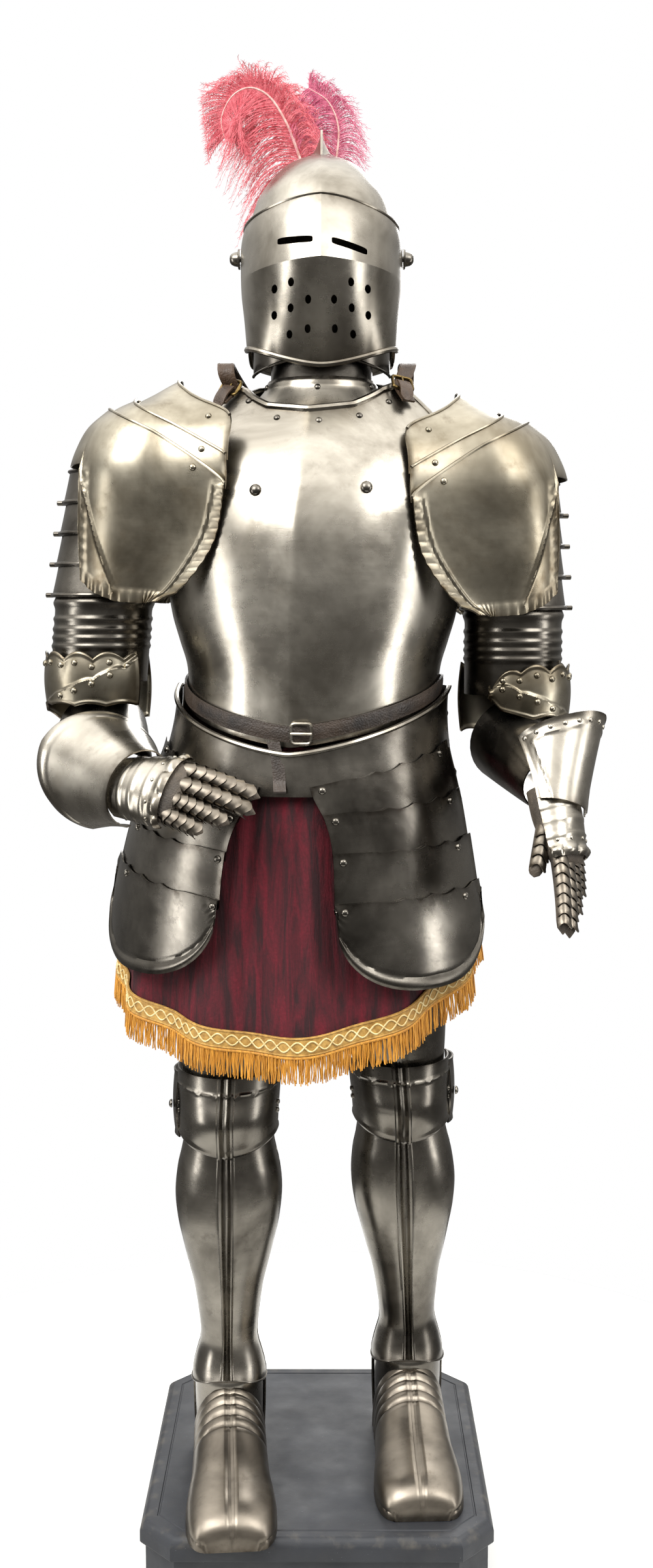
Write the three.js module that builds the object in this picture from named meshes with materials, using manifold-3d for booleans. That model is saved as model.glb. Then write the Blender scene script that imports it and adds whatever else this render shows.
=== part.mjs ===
// A full suit of plate armour with a velvet skirt and a feather, standing on an eight-sided plinth.
//
// Millimetres, +Z up. The wearer faces -Y, and X runs from the wearer's right (-) to the left (+).
// The origin is the middle of the plinth's underside. Heights in the tables below are measured
// from the soles, that is from the plinth's top, and the whole suit is lifted onto it at the end.
//
// Every plate is a wall of even thickness over a curved form: wallGeometry() lays a grid on the
// plate's outer face and a second one inside it, and closes the rims. A form is a table of
// sections, and an angle round it is 0 at the front, 90 at the +X side and 180 at the back.

import * as THREE from 'three';
import { mergeVertices } from 'three/addons/utils/BufferGeometryUtils.js';
import Module from 'manifold-3d';

// ---------------------------------------------------------------- driving dimensions

const PLINTH_WIDTH = 465;
const PLINTH_HEIGHT = 120;
const PLINTH_CORNER = 44;

const STEEL = 2.0; // wall of a plate
const LAP_STEP = 3.8; // how far a lapping plate stands off the one below it
const LEATHER = 3.0;
const CLOTH = 2.0;
const GAP = 0.3; // between pieces that touch

const HELM_X = 6; // the helmet's and neck's middle
const PIVOT_Z = 1645;

const BODY_TURN = -7; // the trunk faces a little to its own right
const CREASE_Z = 1615; // the visor's prow line
const BROW_Z = 1668;

const BRAID_HEIGHT = 24;
const FRINGE_LENGTH = 38;
const BELT_HEIGHT = 20;

// ---------------------------------------------------------------- tables of sections

const table = (names, rows) => rows.map(
  (row) => Object.fromEntries(names.map((name, i) => [name, row[i]])),
);

// The trunk: middle, half width, and depths in front of and behind the arms' plane.
const TRUNK = table(['z', 'x', 'half', 'front', 'back'], [
  [1015, -10, 172, 178, 126],
  [1060, -6, 168, 181, 120],
  [1112, -4, 170, 184, 118],
  [1147, -4, 180, 187, 122],
  [1182, -4, 190, 189, 128],
  [1230, -4, 197, 189, 138],
  [1290, -3, 201, 184, 148],
  [1340, -1, 203, 171, 152],
  [1390, 1, 194, 146, 144],
  [1430, 3, 172, 113, 122],
  [1462, 4, 140, 85, 98],
  [1484, 5, 113, 70, 80],
  [1500, 5, 95, 60, 70],
]);

// The hips, which the skirt plates follow.
const HIPS = table(['z', 'x', 'half', 'front', 'back'], [
  [700, -25, 252, 213, 194],
  [770, -24, 246, 211, 189],
  [830, -23, 237, 209, 181],
  [885, -21, 226, 206, 171],
  [930, -18, 215, 203, 161],
  [966, -15, 204, 200, 151],
  [1010, -11, 190, 195, 138],
  [1060, -7, 183, 193, 132],
  [1100, -5, 184, 195, 131],
]);

const SKIRT = table(['z', 'x', 'half', 'front', 'back', 'fold'], [
  [590, -24, 251, 203, 194, 8],
  [630, -24, 249, 202, 191, 8],
  [700, -24, 243, 200, 184, 7],
  [780, -23, 231, 198, 174, 5],
  [860, -21, 214, 194, 161, 4],
  [930, -18, 197, 189, 146, 2],
  [1000, -11, 176, 178, 126, 1],
]);

const SKULL = table(['z', 'half', 'front', 'back'], [
  [1502, 97, 90, 116],
  [1520, 95, 92, 108],
  [1560, 95.5, 96, 108],
  [1600, 99, 110, 119],
  [1645, 101.5, 128, 128],
  [1668, 99, 126, 126],
  [1691, 92, 119.5, 119],
  [1717, 83, 106, 104],
  [1736, 70, 88, 87],
  [1752, 56, 66, 68],
  [1763, 42, 44, 50],
  [1772, 22, 20, 30],
]);
const CROWN = { y: 5, z: 1780 };

// The shoulder plate in horizontal sections, as distances out from the body's middle: `inner` is
// the edge over the chest, and beyond `centre` the plate rounds the shoulder.
const PAULDRON = table(['z', 'inner', 'centre', 'reach', 'depth'], [
  [1197, 199, 222, 112, 118],
  [1212, 172, 222, 112, 120],
  [1251, 139, 222, 112, 125],
  [1284, 123, 221, 112, 128],
  [1344, 114, 217, 112, 132],
  [1375, 114, 214, 113, 131],
  [1400, 113, 208, 110, 126],
  [1424, 110, 201, 102, 117],
  [1441, 112, 195, 87, 105],
  [1453, 119, 188, 75, 93],
  [1463, 127, 180, 57, 80],
  [1475, 137, 172, 37, 63],
  [1487, 147, 167, 22, 46],
  [1498, 153, 162, 12, 32],
]);
const PAULDRON_SPREAD = [-1, -0.81, -0.62, -0.5, -0.38, -0.3, -0.26, -0.13];
const PAULDRON_COLUMNS = [...PAULDRON_SPREAD, 0, ...PAULDRON_SPREAD.map((w) => -w).reverse()];
const PAULDRON_ROUND = 0.62; // beyond this share of the way round, the section is straight
const PAULDRON_EDGE = table(['w', 'z'], [
  [0, 1375],
  [0.26, 1375],
  [0.3, 1227],
  [0.38, 1211],
  [0.5, 1199],
  [0.62, 1197],
  [1, 1197],
]);

// The leg, from the heel cup to the thigh: half width, and depths before and behind its axis.
const LEG = table(['z', 'half', 'front', 'back'], [
  [10, 50, 50, 56],
  [60, 52, 54, 57],
  [115, 52, 60, 55],
  [135, 48, 50, 50],
  [168, 40, 43, 42],
  [207, 43, 45, 45],
  [246, 49, 49, 53],
  [275, 56, 53, 62],
  [305, 63, 57, 70],
  [342, 71, 61, 78],
  [380, 74.5, 63, 81],
  [418, 71, 63, 76],
  [440, 66, 61, 68],
  [465, 61, 58, 62],
]);
const KNEE = table(['z', 'half', 'front'], [
  [448, 66.5, 72],
  [480, 69, 86],
  [505, 70, 90],
  [530, 71, 83],
  [565, 72.5, 76],
]);
const THIGH = table(['z', 'half', 'front', 'back'], [
  [552, 65, 66, 62],
  [600, 70, 72, 68],
  [700, 78, 80, 76],
  [830, 86, 87, 84],
]);

// The foot, from the toe's tip back: half width and height.
const FOOT = table(['s', 'half', 'height'], [
  [0, 36, 12],
  [6, 45, 30],
  [25, 54, 43],
  [60, 58, 51],
  [95, 56, 60],
  [125, 52, 73],
  [160, 50, 93],
  [200, 49, 112],
  [260, 49, 118],
]);

// Axes of the legs: X and Y of each joint and of the toe's tip. `out` is -1 on the wearer's right
// and 1 on the left.
const LEGS = {
  r: { out: -1, ankle: [-126, 0], knee: [-124, -4], hip: [-110, 5], toe: [-107, -256] },
  l: { out: 1, ankle: [130, 62], knee: [118, 58], hip: [90, 18], toe: [139, -188] },
};

// The arms. `lift` and `spread` move a shoulder up and outwards, and `upper` is the upper arm's
// axis at its lower and upper end in X and Y. `elbow` is the middle of the elbow's band, and
// `couter` the angles that it spans. The forearm runs `from` the elbow `to` the wrist. The cuff's
// `rim` has its middle, radius and the way its point faces, and `span` its two edges' angles. The
// hand starts at the wrist, with the way it reaches, the way its back faces and the fingers' bend.
const ARMS = {
  r: {
    out: -1,
    lift: 0,
    spread: 0,
    upper: [[-287, 8], [-273, 8]],
    elbow: [-291, 6],
    couter: [-230, 47],
    forearm: { from: [-292, 2, 1020], to: [-244, -146, 974] },
    cuff: { rim: [-279, -108, 982], radius: 76, point: [-0.9, -0.3, 0.5] },
    span: { wrist: [-138, 110], rim: [-148, 110] },
    hand: { wrist: [-220, -196, 968], along: [0.78, -0.62, 0], back: [-0.5, -0.62, 0.6], bend: 36 },
  },
  l: {
    out: 1,
    lift: -17,
    spread: 5,
    upper: [[264, 4], [264, 4]],
    elbow: [264, 2],
    couter: [-30, 245],
    forearm: { from: [267, 4, 1012], to: [299, -132, 966] },
    cuff: { rim: [309, -118, 1028], radius: 56, point: [0.85, -0.3, 0.1] },
    span: { wrist: [-102, 38], rim: [-136, 80] },
    hand: { wrist: [299, -160, 937], along: [0.22, -0.34, -0.91], back: [0.85, -0.45, 0], bend: 11 },
  },
};

const PLUME = table(['z', 'x', 'y', 'half', 'depth'], [
  [1733, 4, 128, 9, 9],
  [1750, -14, 118, 58, 26],
  [1782, -20, 106, 84, 36],
  [1820, -32, 96, 90, 42],
  [1858, -52, 90, 93, 42],
  [1887, -55, 86, 78, 36],
  [1908, -58, 84, 46, 24],
  [1918, -58, 83, 14, 10],
]);

// ---------------------------------------------------------------- materials

const finish = (colour, roughness, metalness) => new THREE.MeshStandardMaterial({
  color: colour,
  roughness,
  metalness,
});
const BRIGHT_STEEL = finish('#b9b6ad', 0.32, 1);
const GOLDEN_STEEL = finish('#a99f86', 0.36, 1);
const DARK_STEEL = finish('#7d7c7a', 0.34, 1);
const BROWN_STEEL = finish('#7a6854', 0.42, 1);
const BRASS = finish('#a08b52', 0.4, 1);
const BELT_LEATHER = finish('#2c231c', 0.6, 0);
const STRAP_LEATHER = finish('#6b5540', 0.65, 0);
const GLOVE_LEATHER = finish('#4b443b', 0.75, 0);
const VELVET = finish('#7c1428', 0.9, 0);
const BRAID = finish('#b8924e', 0.7, 0.1);
const FRINGE = finish('#d8921e', 0.75, 0);
const FEATHER = finish('#d2606a', 0.9, 0);
const PAINTED_WOOD = finish('#20242c', 0.45, 0);

// ---------------------------------------------------------------- helpers

const RADIANS = Math.PI / 180;
const vec = (x, y, z) => new THREE.Vector3(x, y, z);
const lerp = THREE.MathUtils.lerp;
const clamp = THREE.MathUtils.clamp;
const sin = (degrees) => Math.sin(degrees * RADIANS);
const cos = (degrees) => Math.cos(degrees * RADIANS);

// One column of a table at a value between its rows, on a smooth curve through them.
function read(rows, name, at, key = 'z') {
  const last = rows.length - 1;
  const value = clamp(at, rows[0][key], rows[last][key]);
  let i = 0;
  while (i < last - 1 && rows[i + 1][key] < value) {
    i += 1;
  }
  const slope = (a, b) => (rows[b][name] - rows[a][name]) / (rows[b][key] - rows[a][key]);
  const span = rows[i + 1][key] - rows[i][key];
  const t = (value - rows[i][key]) / span;
  const start = slope(Math.max(i - 1, 0), i + 1) * span;
  const end = slope(i, Math.min(i + 2, last)) * span;
  const [p, q] = [rows[i][name], rows[i + 1][name]];
  return p + t * (start + t * (3 * (q - p) - 2 * start - end + t * (2 * (p - q) + start + end)));
}

// The same without the curve, for tables of corners.
function readStraight(rows, name, at, key) {
  let i = 0;
  while (i < rows.length - 2 && rows[i + 1][key] < at) {
    i += 1;
  }
  const t = (at - rows[i][key]) / (rows[i + 1][key] - rows[i][key]);
  return lerp(rows[i][name], rows[i + 1][name], clamp(t, 0, 1));
}

const steps = (count) => Array.from({ length: count + 1 }, (_, i) => i / count);

function meshData(vertices, triangles) {
  const geometry = new THREE.BufferGeometry();
  const flat = vertices.flatMap((p) => [p.x, p.y, p.z]);
  geometry.setAttribute('position', new THREE.Float32BufferAttribute(flat, 3));
  geometry.setIndex(triangles);
  return geometry;
}

// A wall over the grid point(u, v), with u round the piece to the wearer's left and v upwards.
// `shift` moves it in along its normals (out where negative), and `crown` closes its top.
function wallGeometry(point, options) {
  const { ring = false, wall = STEEL, shift = 0, crown = null } = options;
  const us = Array.isArray(options.columns) ? options.columns : steps(options.columns);
  const vs = Array.isArray(options.rows) ? options.rows : steps(options.rows);
  const across = ring ? us.length - 1 : us.length;
  const up = vs.length;
  const grid = vs.flatMap((v) => us.slice(0, across).map((u) => point(u, v)));
  const column = (i) => (ring ? (i + across) % across : clamp(i, 0, across - 1));
  const index = (i, j) => clamp(j, 0, up - 1) * across + column(i);
  const normal = (i, j) => {
    const along = grid[index(i + 1, j)].clone().sub(grid[index(i - 1, j)]);
    const upward = grid[index(i, j + 1)].clone().sub(grid[index(i, j - 1)]);
    return along.cross(upward).normalize();
  };
  const face = (depth) => grid.map((p, k) => {
    return p.clone().addScaledVector(normal(k % across, Math.floor(k / across)), -depth);
  });
  const vertices = [...face(shift), ...face(shift + wall)];
  const inner = grid.length;
  const triangles = [];
  const quad = (a, b, c, d) => triangles.push(a, b, c, a, c, d);
  const columns = ring ? across : across - 1;
  for (let j = 0; j < up - 1; j += 1) {
    for (let i = 0; i < columns; i += 1) {
      const corners = [index(i, j), index(i + 1, j), index(i + 1, j + 1), index(i, j + 1)];
      quad(...corners);
      quad(...corners.map((k) => k + inner).reverse());
    }
  }
  for (let i = 0; i < columns; i += 1) {
    const [a, b] = [index(i, 0), index(i + 1, 0)];
    const [c, d] = [index(i, up - 1), index(i + 1, up - 1)];
    quad(a, a + inner, b + inner, b);
    if (crown) {
      triangles.push(c, d, 2 * inner, d + inner, c + inner, 2 * inner + 1);
    } else {
      quad(c, d, d + inner, c + inner);
    }
  }
  if (crown) {
    vertices.push(crown, crown.clone().add(vec(0, 0, -wall)));
  }
  if (!ring) {
    for (let j = 0; j < up - 1; j += 1) {
      const [a, b] = [index(0, j), index(0, j + 1)];
      const [c, d] = [index(across - 1, j), index(across - 1, j + 1)];
      quad(a, b, b + inner, a + inner);
      quad(c, c + inner, d + inner, d);
    }
  }
  return meshData(vertices, triangles);
}

// A closed solid through rings of points, each ring counter-clockwise seen from the end it
// leads to.
function loftGeometry(rings) {
  const count = rings[0].length;
  const middle = (ring) => {
    return ring.reduce((sum, p) => sum.add(p), vec(0, 0, 0)).divideScalar(ring.length);
  };
  const vertices = [...rings.flat(), middle(rings[0]), middle(rings[rings.length - 1])];
  const first = rings.length * count;
  const lastRing = (rings.length - 1) * count;
  const triangles = [];
  for (let i = 0; i < count; i += 1) {
    const next = (i + 1) % count;
    for (let j = 0; j < rings.length - 1; j += 1) {
      const [a, b] = [j * count + i, j * count + next];
      triangles.push(a, b, b + count, a, b + count, a + count);
    }
    triangles.push(first, next, i, first + 1, lastRing + i, lastRing + next);
  }
  return meshData(vertices, triangles);
}

// A right-handed frame along an axis: `front` and `side` lie across it, and angles run from
// front towards side.
function frameAlong(from, to, towards) {
  const along = to.clone().sub(from);
  const length = along.length();
  along.normalize();
  const front = towards.clone().addScaledVector(along, -towards.dot(along)).normalize();
  const side = along.clone().cross(front);
  return { from, along, front, side, length };
}

function onFrame(frame, distance, front, side) {
  return frame.from.clone()
    .addScaledVector(frame.along, distance)
    .addScaledVector(frame.front, front)
    .addScaledVector(frame.side, side);
}

const circle = (frame, distance, radius, count, flat = 1) => steps(count).slice(0, -1).map((u) => {
  const angle = 360 * u;
  return onFrame(frame, distance, radius * flat * cos(angle), radius * sin(angle));
});

const wasm = await Module();
wasm.setup();

function solidOf(geometry) {
  const bare = geometry.clone();
  bare.deleteAttribute('normal');
  bare.deleteAttribute('uv');
  const merged = mergeVertices(bare, 1e-4);
  return new wasm.Manifold(new wasm.Mesh({
    numProp: 3,
    vertProperties: new Float32Array(merged.attributes.position.array),
    triVerts: new Uint32Array(merged.index.array),
  }));
}

function geometryOf(solid) {
  const mesh = solid.getMesh();
  const geometry = new THREE.BufferGeometry();
  geometry.setAttribute('position', new THREE.BufferAttribute(mesh.vertProperties, 3));
  geometry.setIndex(new THREE.BufferAttribute(mesh.triVerts, 1));
  return geometry;
}

const suit = new THREE.Group();
suit.position.z = PLINTH_HEIGHT;

function addPiece(parent, name, geometry, material) {
  const mesh = new THREE.Mesh(geometry, material);
  mesh.name = name;
  parent.add(mesh);
  return mesh;
}

const addPlate = (name, material, point, options) => {
  return addPiece(suit, name, wallGeometry(point, options), material);
};

// A point on an oval section of a form, turned about the section's middle.
function ovalPoint(middle, half, depth, angle, z, turn = 0) {
  const x = half * sin(angle);
  const y = -depth * cos(angle);
  return vec(middle[0] + x * cos(turn) - y * sin(turn), middle[1] + x * sin(turn) + y * cos(turn), z);
}

const depthAt = (rows, angle, z) => read(rows, cos(angle) >= 0 ? 'front' : 'back', z);

// ---------------------------------------------------------------- trunk

const KEEL = 6;
const KEEL_ANGLE = 18;

function trunkPoint(angle, z) {
  const ridge = KEEL * Math.max(0, 1 - Math.abs(angle) / KEEL_ANGLE);
  const depth = depthAt(TRUNK, angle, z) + ridge;
  return ovalPoint([read(TRUNK, 'x', z), 0], read(TRUNK, 'half', z), depth, angle, z, BODY_TURN);
}

function hipPoint(angle, z) {
  const depth = depthAt(HIPS, angle, z);
  return ovalPoint([read(HIPS, 'x', z), 0], read(HIPS, 'half', z), depth, angle, z, BODY_TURN);
}

// Waist lines dip at the front: 0 there, and 1 at the sides and behind.
const WAIST = { edge: 1018, belt: 1035, rise: 57, bend: 0.68 };
const FAULD = { top: 1010, rise: 76, reach: 93 };
const waistRise = (angle) => (1 - Math.max(0, cos(angle))) ** WAIST.bend;
const waistEdge = (angle) => WAIST.edge + WAIST.rise * waistRise(angle);
const beltLine = (angle) => WAIST.belt + WAIST.rise * waistRise(angle);
const fauldTop = (angle) => FAULD.top + FAULD.rise * waistRise(angle);

const BREAST_TOP = table(['angle', 'z'], [
  [0, 1439],
  [20, 1446],
  [40, 1467],
  [54, 1475],
  [64, 1464],
  [72, 1370],
  [80, 1290],
  [89.5, 1258],
]);
const BACK_TOP = table(['angle', 'z'], [
  [0, 1492],
  [30, 1491],
  [54, 1484],
  [64, 1474],
  [72, 1370],
  [80, 1290],
  [89.5, 1258],
]);
const SIDE_SEAM = 89.7;
const spreadOver = (from, to, count) => steps(count).map((share) => lerp(from, to, share));
const FRONT_ANGLES = spreadOver(-SIDE_SEAM, SIDE_SEAM, 18);
const BACK_ANGLES = spreadOver(180 - SIDE_SEAM, 180 + SIDE_SEAM, 14);

function addCuirass() {
  const breast = (angle, v) => {
    const top = readStraight(BREAST_TOP, 'z', Math.abs(angle), 'angle');
    return trunkPoint(angle, lerp(waistEdge(angle), top, v));
  };
  addPlate('breastplate', BRIGHT_STEEL, breast, { columns: FRONT_ANGLES, rows: 6 });
  const back = (angle, v) => {
    const top = readStraight(BACK_TOP, 'z', Math.abs(angle - 180), 'angle');
    return trunkPoint(angle, lerp(waistEdge(angle), top, v));
  };
  addPlate('backplate', DARK_STEEL, back, {
    columns: BACK_ANGLES,
    rows: [0, 0.08, 0.2, 0.4, 0.68, 1],
  });
}

// A flat four-sided buckle, lying in X and Y with its middle at the origin. `wide` and `high` are
// half its size.
const BUCKLE_DEPTH = 3;

function buckleGeometry({ wide, high, rim }) {
  const corners = (inset) => [[-1, -1], [1, -1], [1, 1], [-1, 1]].map(([x, y]) => {
    return new THREE.Vector2(x * (wide - inset), y * (high - inset));
  });
  const shape = new THREE.Shape(corners(0));
  shape.holes.push(new THREE.Path(corners(rim)));
  return new THREE.ExtrudeGeometry(shape, { depth: BUCKLE_DEPTH, bevelEnabled: false });
}

const BELT_OFF = 2.4; // the belt's clearance over the plate, which its facets need
const BELT_BUCKLE = { wide: 15, high: 14, rim: 3.5, angle: 4 };
const BELT_TAIL = { angle: -8, spread: 5.5, foot: 962, drop: 12, lean: 18, off: 14 };

function addBelt() {
  const band = (angle, v) => trunkPoint(angle, beltLine(angle) + BELT_HEIGHT * (v - 0.5));
  addPlate('waist_belt', BELT_LEATHER, band, {
    columns: [...FRONT_ANGLES, ...BACK_ANGLES, 360 - SIDE_SEAM],
    rows: 1,
    ring: true,
    wall: LEATHER,
    shift: -LEATHER - BELT_OFF,
  });

  // The buckle is a steel frame flat on the belt, and the strap's free end hangs beside it.
  const buckle = addPiece(suit, 'belt_buckle', buckleGeometry(BELT_BUCKLE), BRIGHT_STEEL);
  const place = trunkPoint(BELT_BUCKLE.angle, beltLine(BELT_BUCKLE.angle));
  buckle.position.copy(place).add(vec(0, -BELT_OFF - LEATHER - 2, 0));
  buckle.rotation.set(90 * RADIANS, BODY_TURN * RADIANS, 0, 'ZYX');

  const tail = (u, v) => {
    const angle = BELT_TAIL.angle + BELT_TAIL.spread * (u - 0.5);
    const z = lerp(BELT_TAIL.foot, beltLine(BELT_TAIL.angle) - BELT_TAIL.drop, v);
    return trunkPoint(angle, beltLine(angle)).setZ(z).add(vec(0, -BELT_TAIL.lean * (1 - v), 0));
  };
  addPlate('belt_tail', BELT_LEATHER, tail, {
    columns: 1,
    rows: 4,
    wall: LEATHER,
    shift: -LEATHER - BELT_TAIL.off,
  });
}

// The neck's collar is a tube, and the gorget's plate flares from it over the chest.
const COLLAR = { radius: 67, foot: 1474, top: 1512 };
const GORGET = { neck: 70.5, half: 108, depth: 90, foot: 1446, top: 1486, flare: 1.6 };

function addGorget() {
  const { radius } = COLLAR;
  const collar = (u, v) => {
    return ovalPoint([HELM_X, 0], radius, radius, 360 * u, lerp(COLLAR.foot, COLLAR.top, v));
  };
  addPlate('gorget_collar', DARK_STEEL, collar, { columns: 20, rows: 1, ring: true });
  const plate = (u, v) => {
    const spread = (1 - v) ** GORGET.flare;
    const half = lerp(GORGET.neck, GORGET.half, spread);
    const depth = lerp(GORGET.neck, GORGET.depth, spread);
    return ovalPoint([HELM_X, 0], half, depth, 360 * u, lerp(GORGET.foot, GORGET.top, v));
  };
  addPlate('gorget_plate', BRIGHT_STEEL, plate, { columns: 20, rows: 2, ring: true });
}

// Leather straps join the breastplate to the backplate over each shoulder. `slant` is how they
// lie on the trunk's curved sides.
const STRAP = { half: 11, slant: 42, off: 5.5 };
const STRAP_BUCKLE = { wide: 17, high: 14, rim: 4, angle: 58, z: 1468, tilt: 50, turn: 12 };

function addShoulderStrap(name, out) {
  const path = new THREE.CatmullRomCurve3([
    trunkPoint(out * 50, 1448),
    trunkPoint(out * 57, 1472),
    vec(out * 118, -32, 1497),
    vec(out * 118, 26, 1500),
    trunkPoint(180 - out * 57, 1472),
    trunkPoint(180 - out * 50, 1450),
  ]);
  const strap = (u, v) => {
    const slant = STRAP.slant * (2 * v - 1);
    const across = vec(cos(slant), out * sin(slant), 0);
    return path.getPoint(1 - v).addScaledVector(across, STRAP.half * (1 - 2 * u));
  };
  addPlate(`shoulder_strap_${name}`, STRAP_LEATHER, strap, {
    columns: 1,
    rows: 9,
    wall: LEATHER,
    shift: -LEATHER - STRAP.off,
  });
  const buckle = addPiece(suit, `shoulder_buckle_${name}`, buckleGeometry(STRAP_BUCKLE), BRASS);
  const place = trunkPoint(out * STRAP_BUCKLE.angle, STRAP_BUCKLE.z);
  buckle.position.copy(place).add(vec(out * 12, -17, 18));
  buckle.rotation.set(STRAP_BUCKLE.tilt * RADIANS, 0, out * STRAP_BUCKLE.turn * RADIANS, 'ZYX');
}

// ---------------------------------------------------------------- fauld, tassets and culet

// The tassets' lines, from the fauld down: height at the inner edge, and rise to the outer one.
const LINES = {
  r: table(['z', 'rise'], [[970, 48], [936, 32], [888, 28], [828, 34]]),
  l: table(['z', 'rise'], [[970, 48], [936, 18], [888, 6], [826, 8]]),
};
const TASSET_OUTER = 77;
const TASSET_FOOT = { r: 722, l: 711 };
const TASSET_CORNER = { rise: 105, power: 2.4 }; // the rounding of the lowest plate's foot
const UNDERLAP = 12;

// Half the width of the arch between the tassets, at a height.
const ARCH = table(['z', 'half'], [
  [700, 72],
  [800, 70],
  [890, 64],
  [930, 52],
  [958, 36],
  [1000, 20],
]);

function tassetPoint(out, u, z) {
  const share = out > 0 ? u : 1 - u;
  const inner = Math.asin(read(ARCH, 'half', z) / read(HIPS, 'half', z)) / RADIANS;
  return hipPoint(out * lerp(inner, TASSET_OUTER, share), z);
}

function addTasset(name, out) {
  const lines = LINES[name];
  lines.forEach((line, k) => {
    const lowest = k === lines.length - 1;
    const point = (u, v) => {
      const share = out > 0 ? u : 1 - u;
      const top = line.z + line.rise * share;
      const offCentre = Math.abs(2 * share - 1);
      const { rise, power } = TASSET_CORNER;
      const round = rise * (1 - (1 - offCentre ** power) ** (1 / power));
      const next = lines[k + 1];
      const bottom = lowest ? TASSET_FOOT[name] + round : next.z + next.rise * share - UNDERLAP;
      return tassetPoint(out, u, lerp(bottom, top, v));
    };
    const spread = [0, 0.04, 0.13, 0.28, 0.5, 0.72, 0.87, 0.96, 1];
    addPlate(`tasset_${name}_${k + 1}`, DARK_STEEL, point, {
      columns: lowest ? spread : 6,
      rows: lowest ? 3 : 2,
      shift: -LAP_STEP * (k + 1),
    });
  });
}

const CULET = { from: 96, to: 264, foot: 930, dip: 14 };

function addFauld() {
  const point = (u, v) => {
    const angle = lerp(-FAULD.reach, FAULD.reach, u);
    const out = angle < 0 ? 'r' : 'l';
    const share = clamp((Math.abs(angle) - 10) / (TASSET_OUTER - 10), 0, 1);
    const foot = LINES[out][0].z - UNDERLAP + LINES[out][0].rise * share;
    return hipPoint(angle, lerp(foot, fauldTop(angle), v));
  };
  addPlate('fauld_plate', DARK_STEEL, point, { columns: 18, rows: 2 });
  const rear = (u, v) => {
    const angle = lerp(CULET.from, CULET.to, u);
    const foot = CULET.foot - CULET.dip * Math.abs(cos(angle));
    return hipPoint(angle, lerp(foot, fauldTop(angle), v));
  };
  addPlate('culet', DARK_STEEL, rear, { columns: 14, rows: 3 });
}

// ---------------------------------------------------------------- skirt

// The hem dips at the front, and hangs higher on the wearer's left.
const HEM = { front: 632, left: 116, right: 70, back: 700 };

function hemLine(angle) {
  const a = angle > 180 ? angle - 360 : angle;
  const rise = a > 0 ? HEM.left : HEM.right;
  const side = HEM.front + rise * (1 - Math.max(0, cos(a))) ** 0.9;
  return cos(a) >= 0 ? side : lerp(side, HEM.back, cos(a) ** 2);
}

// Even folds round the skirt, over slower waves that make them differ.
const FOLDS = 12;
const WAVE = { share: 0.4, count: 5, start: 40 };

function skirtPoint(angle, z) {
  const wave = WAVE.share * sin(WAVE.count * angle + WAVE.start);
  const fold = read(SKIRT, 'fold', z) * (sin(FOLDS * angle) + wave);
  const half = read(SKIRT, 'half', z) + fold;
  const depth = depthAt(SKIRT, angle, z) + fold;
  return ovalPoint([read(SKIRT, 'x', z), 0], half, depth, angle, z, BODY_TURN);
}

const SKIRT_COLUMNS = 48;
const SKIRT_TOP = 990;
const BRAID_WALL = 1.6;
const FRINGE_WALL = 3.6;

function addSkirt() {
  const cloth = (u, v) => {
    const angle = 360 * u;
    const braidTop = hemLine(angle) + BRAID_HEIGHT;
    const z = v <= 0 ? hemLine(angle) : lerp(braidTop, SKIRT_TOP, v - 0.001);
    return skirtPoint(angle, z);
  };
  addPlate('skirt_cloth', VELVET, cloth, {
    columns: SKIRT_COLUMNS,
    rows: [0, 0.001, 0.5, 1.001],
    ring: true,
    wall: CLOTH,
  });
  const braid = (u, v) => skirtPoint(360 * u, hemLine(360 * u) + BRAID_HEIGHT * v);
  addPlate('skirt_braid', BRAID, braid, {
    columns: SKIRT_COLUMNS,
    rows: 1,
    ring: true,
    wall: BRAID_WALL,
    shift: -BRAID_WALL - 2 * GAP,
  });
  const fringe = (u, v) => skirtPoint(360 * u, hemLine(360 * u) - GAP - FRINGE_LENGTH * (1 - v));
  addPlate('skirt_fringe', FRINGE, fringe, {
    columns: SKIRT_COLUMNS,
    rows: 1,
    ring: true,
    wall: FRINGE_WALL,
    shift: -FRINGE_WALL / 2,
  });
}

// ---------------------------------------------------------------- helmet

function helmPoint(angle, z) {
  return ovalPoint([HELM_X, 0], read(SKULL, 'half', z), depthAt(SKULL, angle, z), angle, z);
}

// The skull's lower edge: the brow over the face, and the nape and cheeks behind.
const FACE_ANGLE = 80;
const NAPE = { z: 1503, rise: 8 };
const SKULL_TOP = SKULL[SKULL.length - 1].z;

function skullEdge(angle) {
  const fromFront = Math.abs(angle > 180 ? angle - 360 : angle);
  return fromFront < FACE_ANGLE ? BROW_Z : NAPE.z + NAPE.rise * Math.abs(sin(angle));
}

const BEVOR = { half: 90, chin: 70, brow: 84, foot: 1513, arch: 20, top: 1558, reach: 88 };

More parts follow.
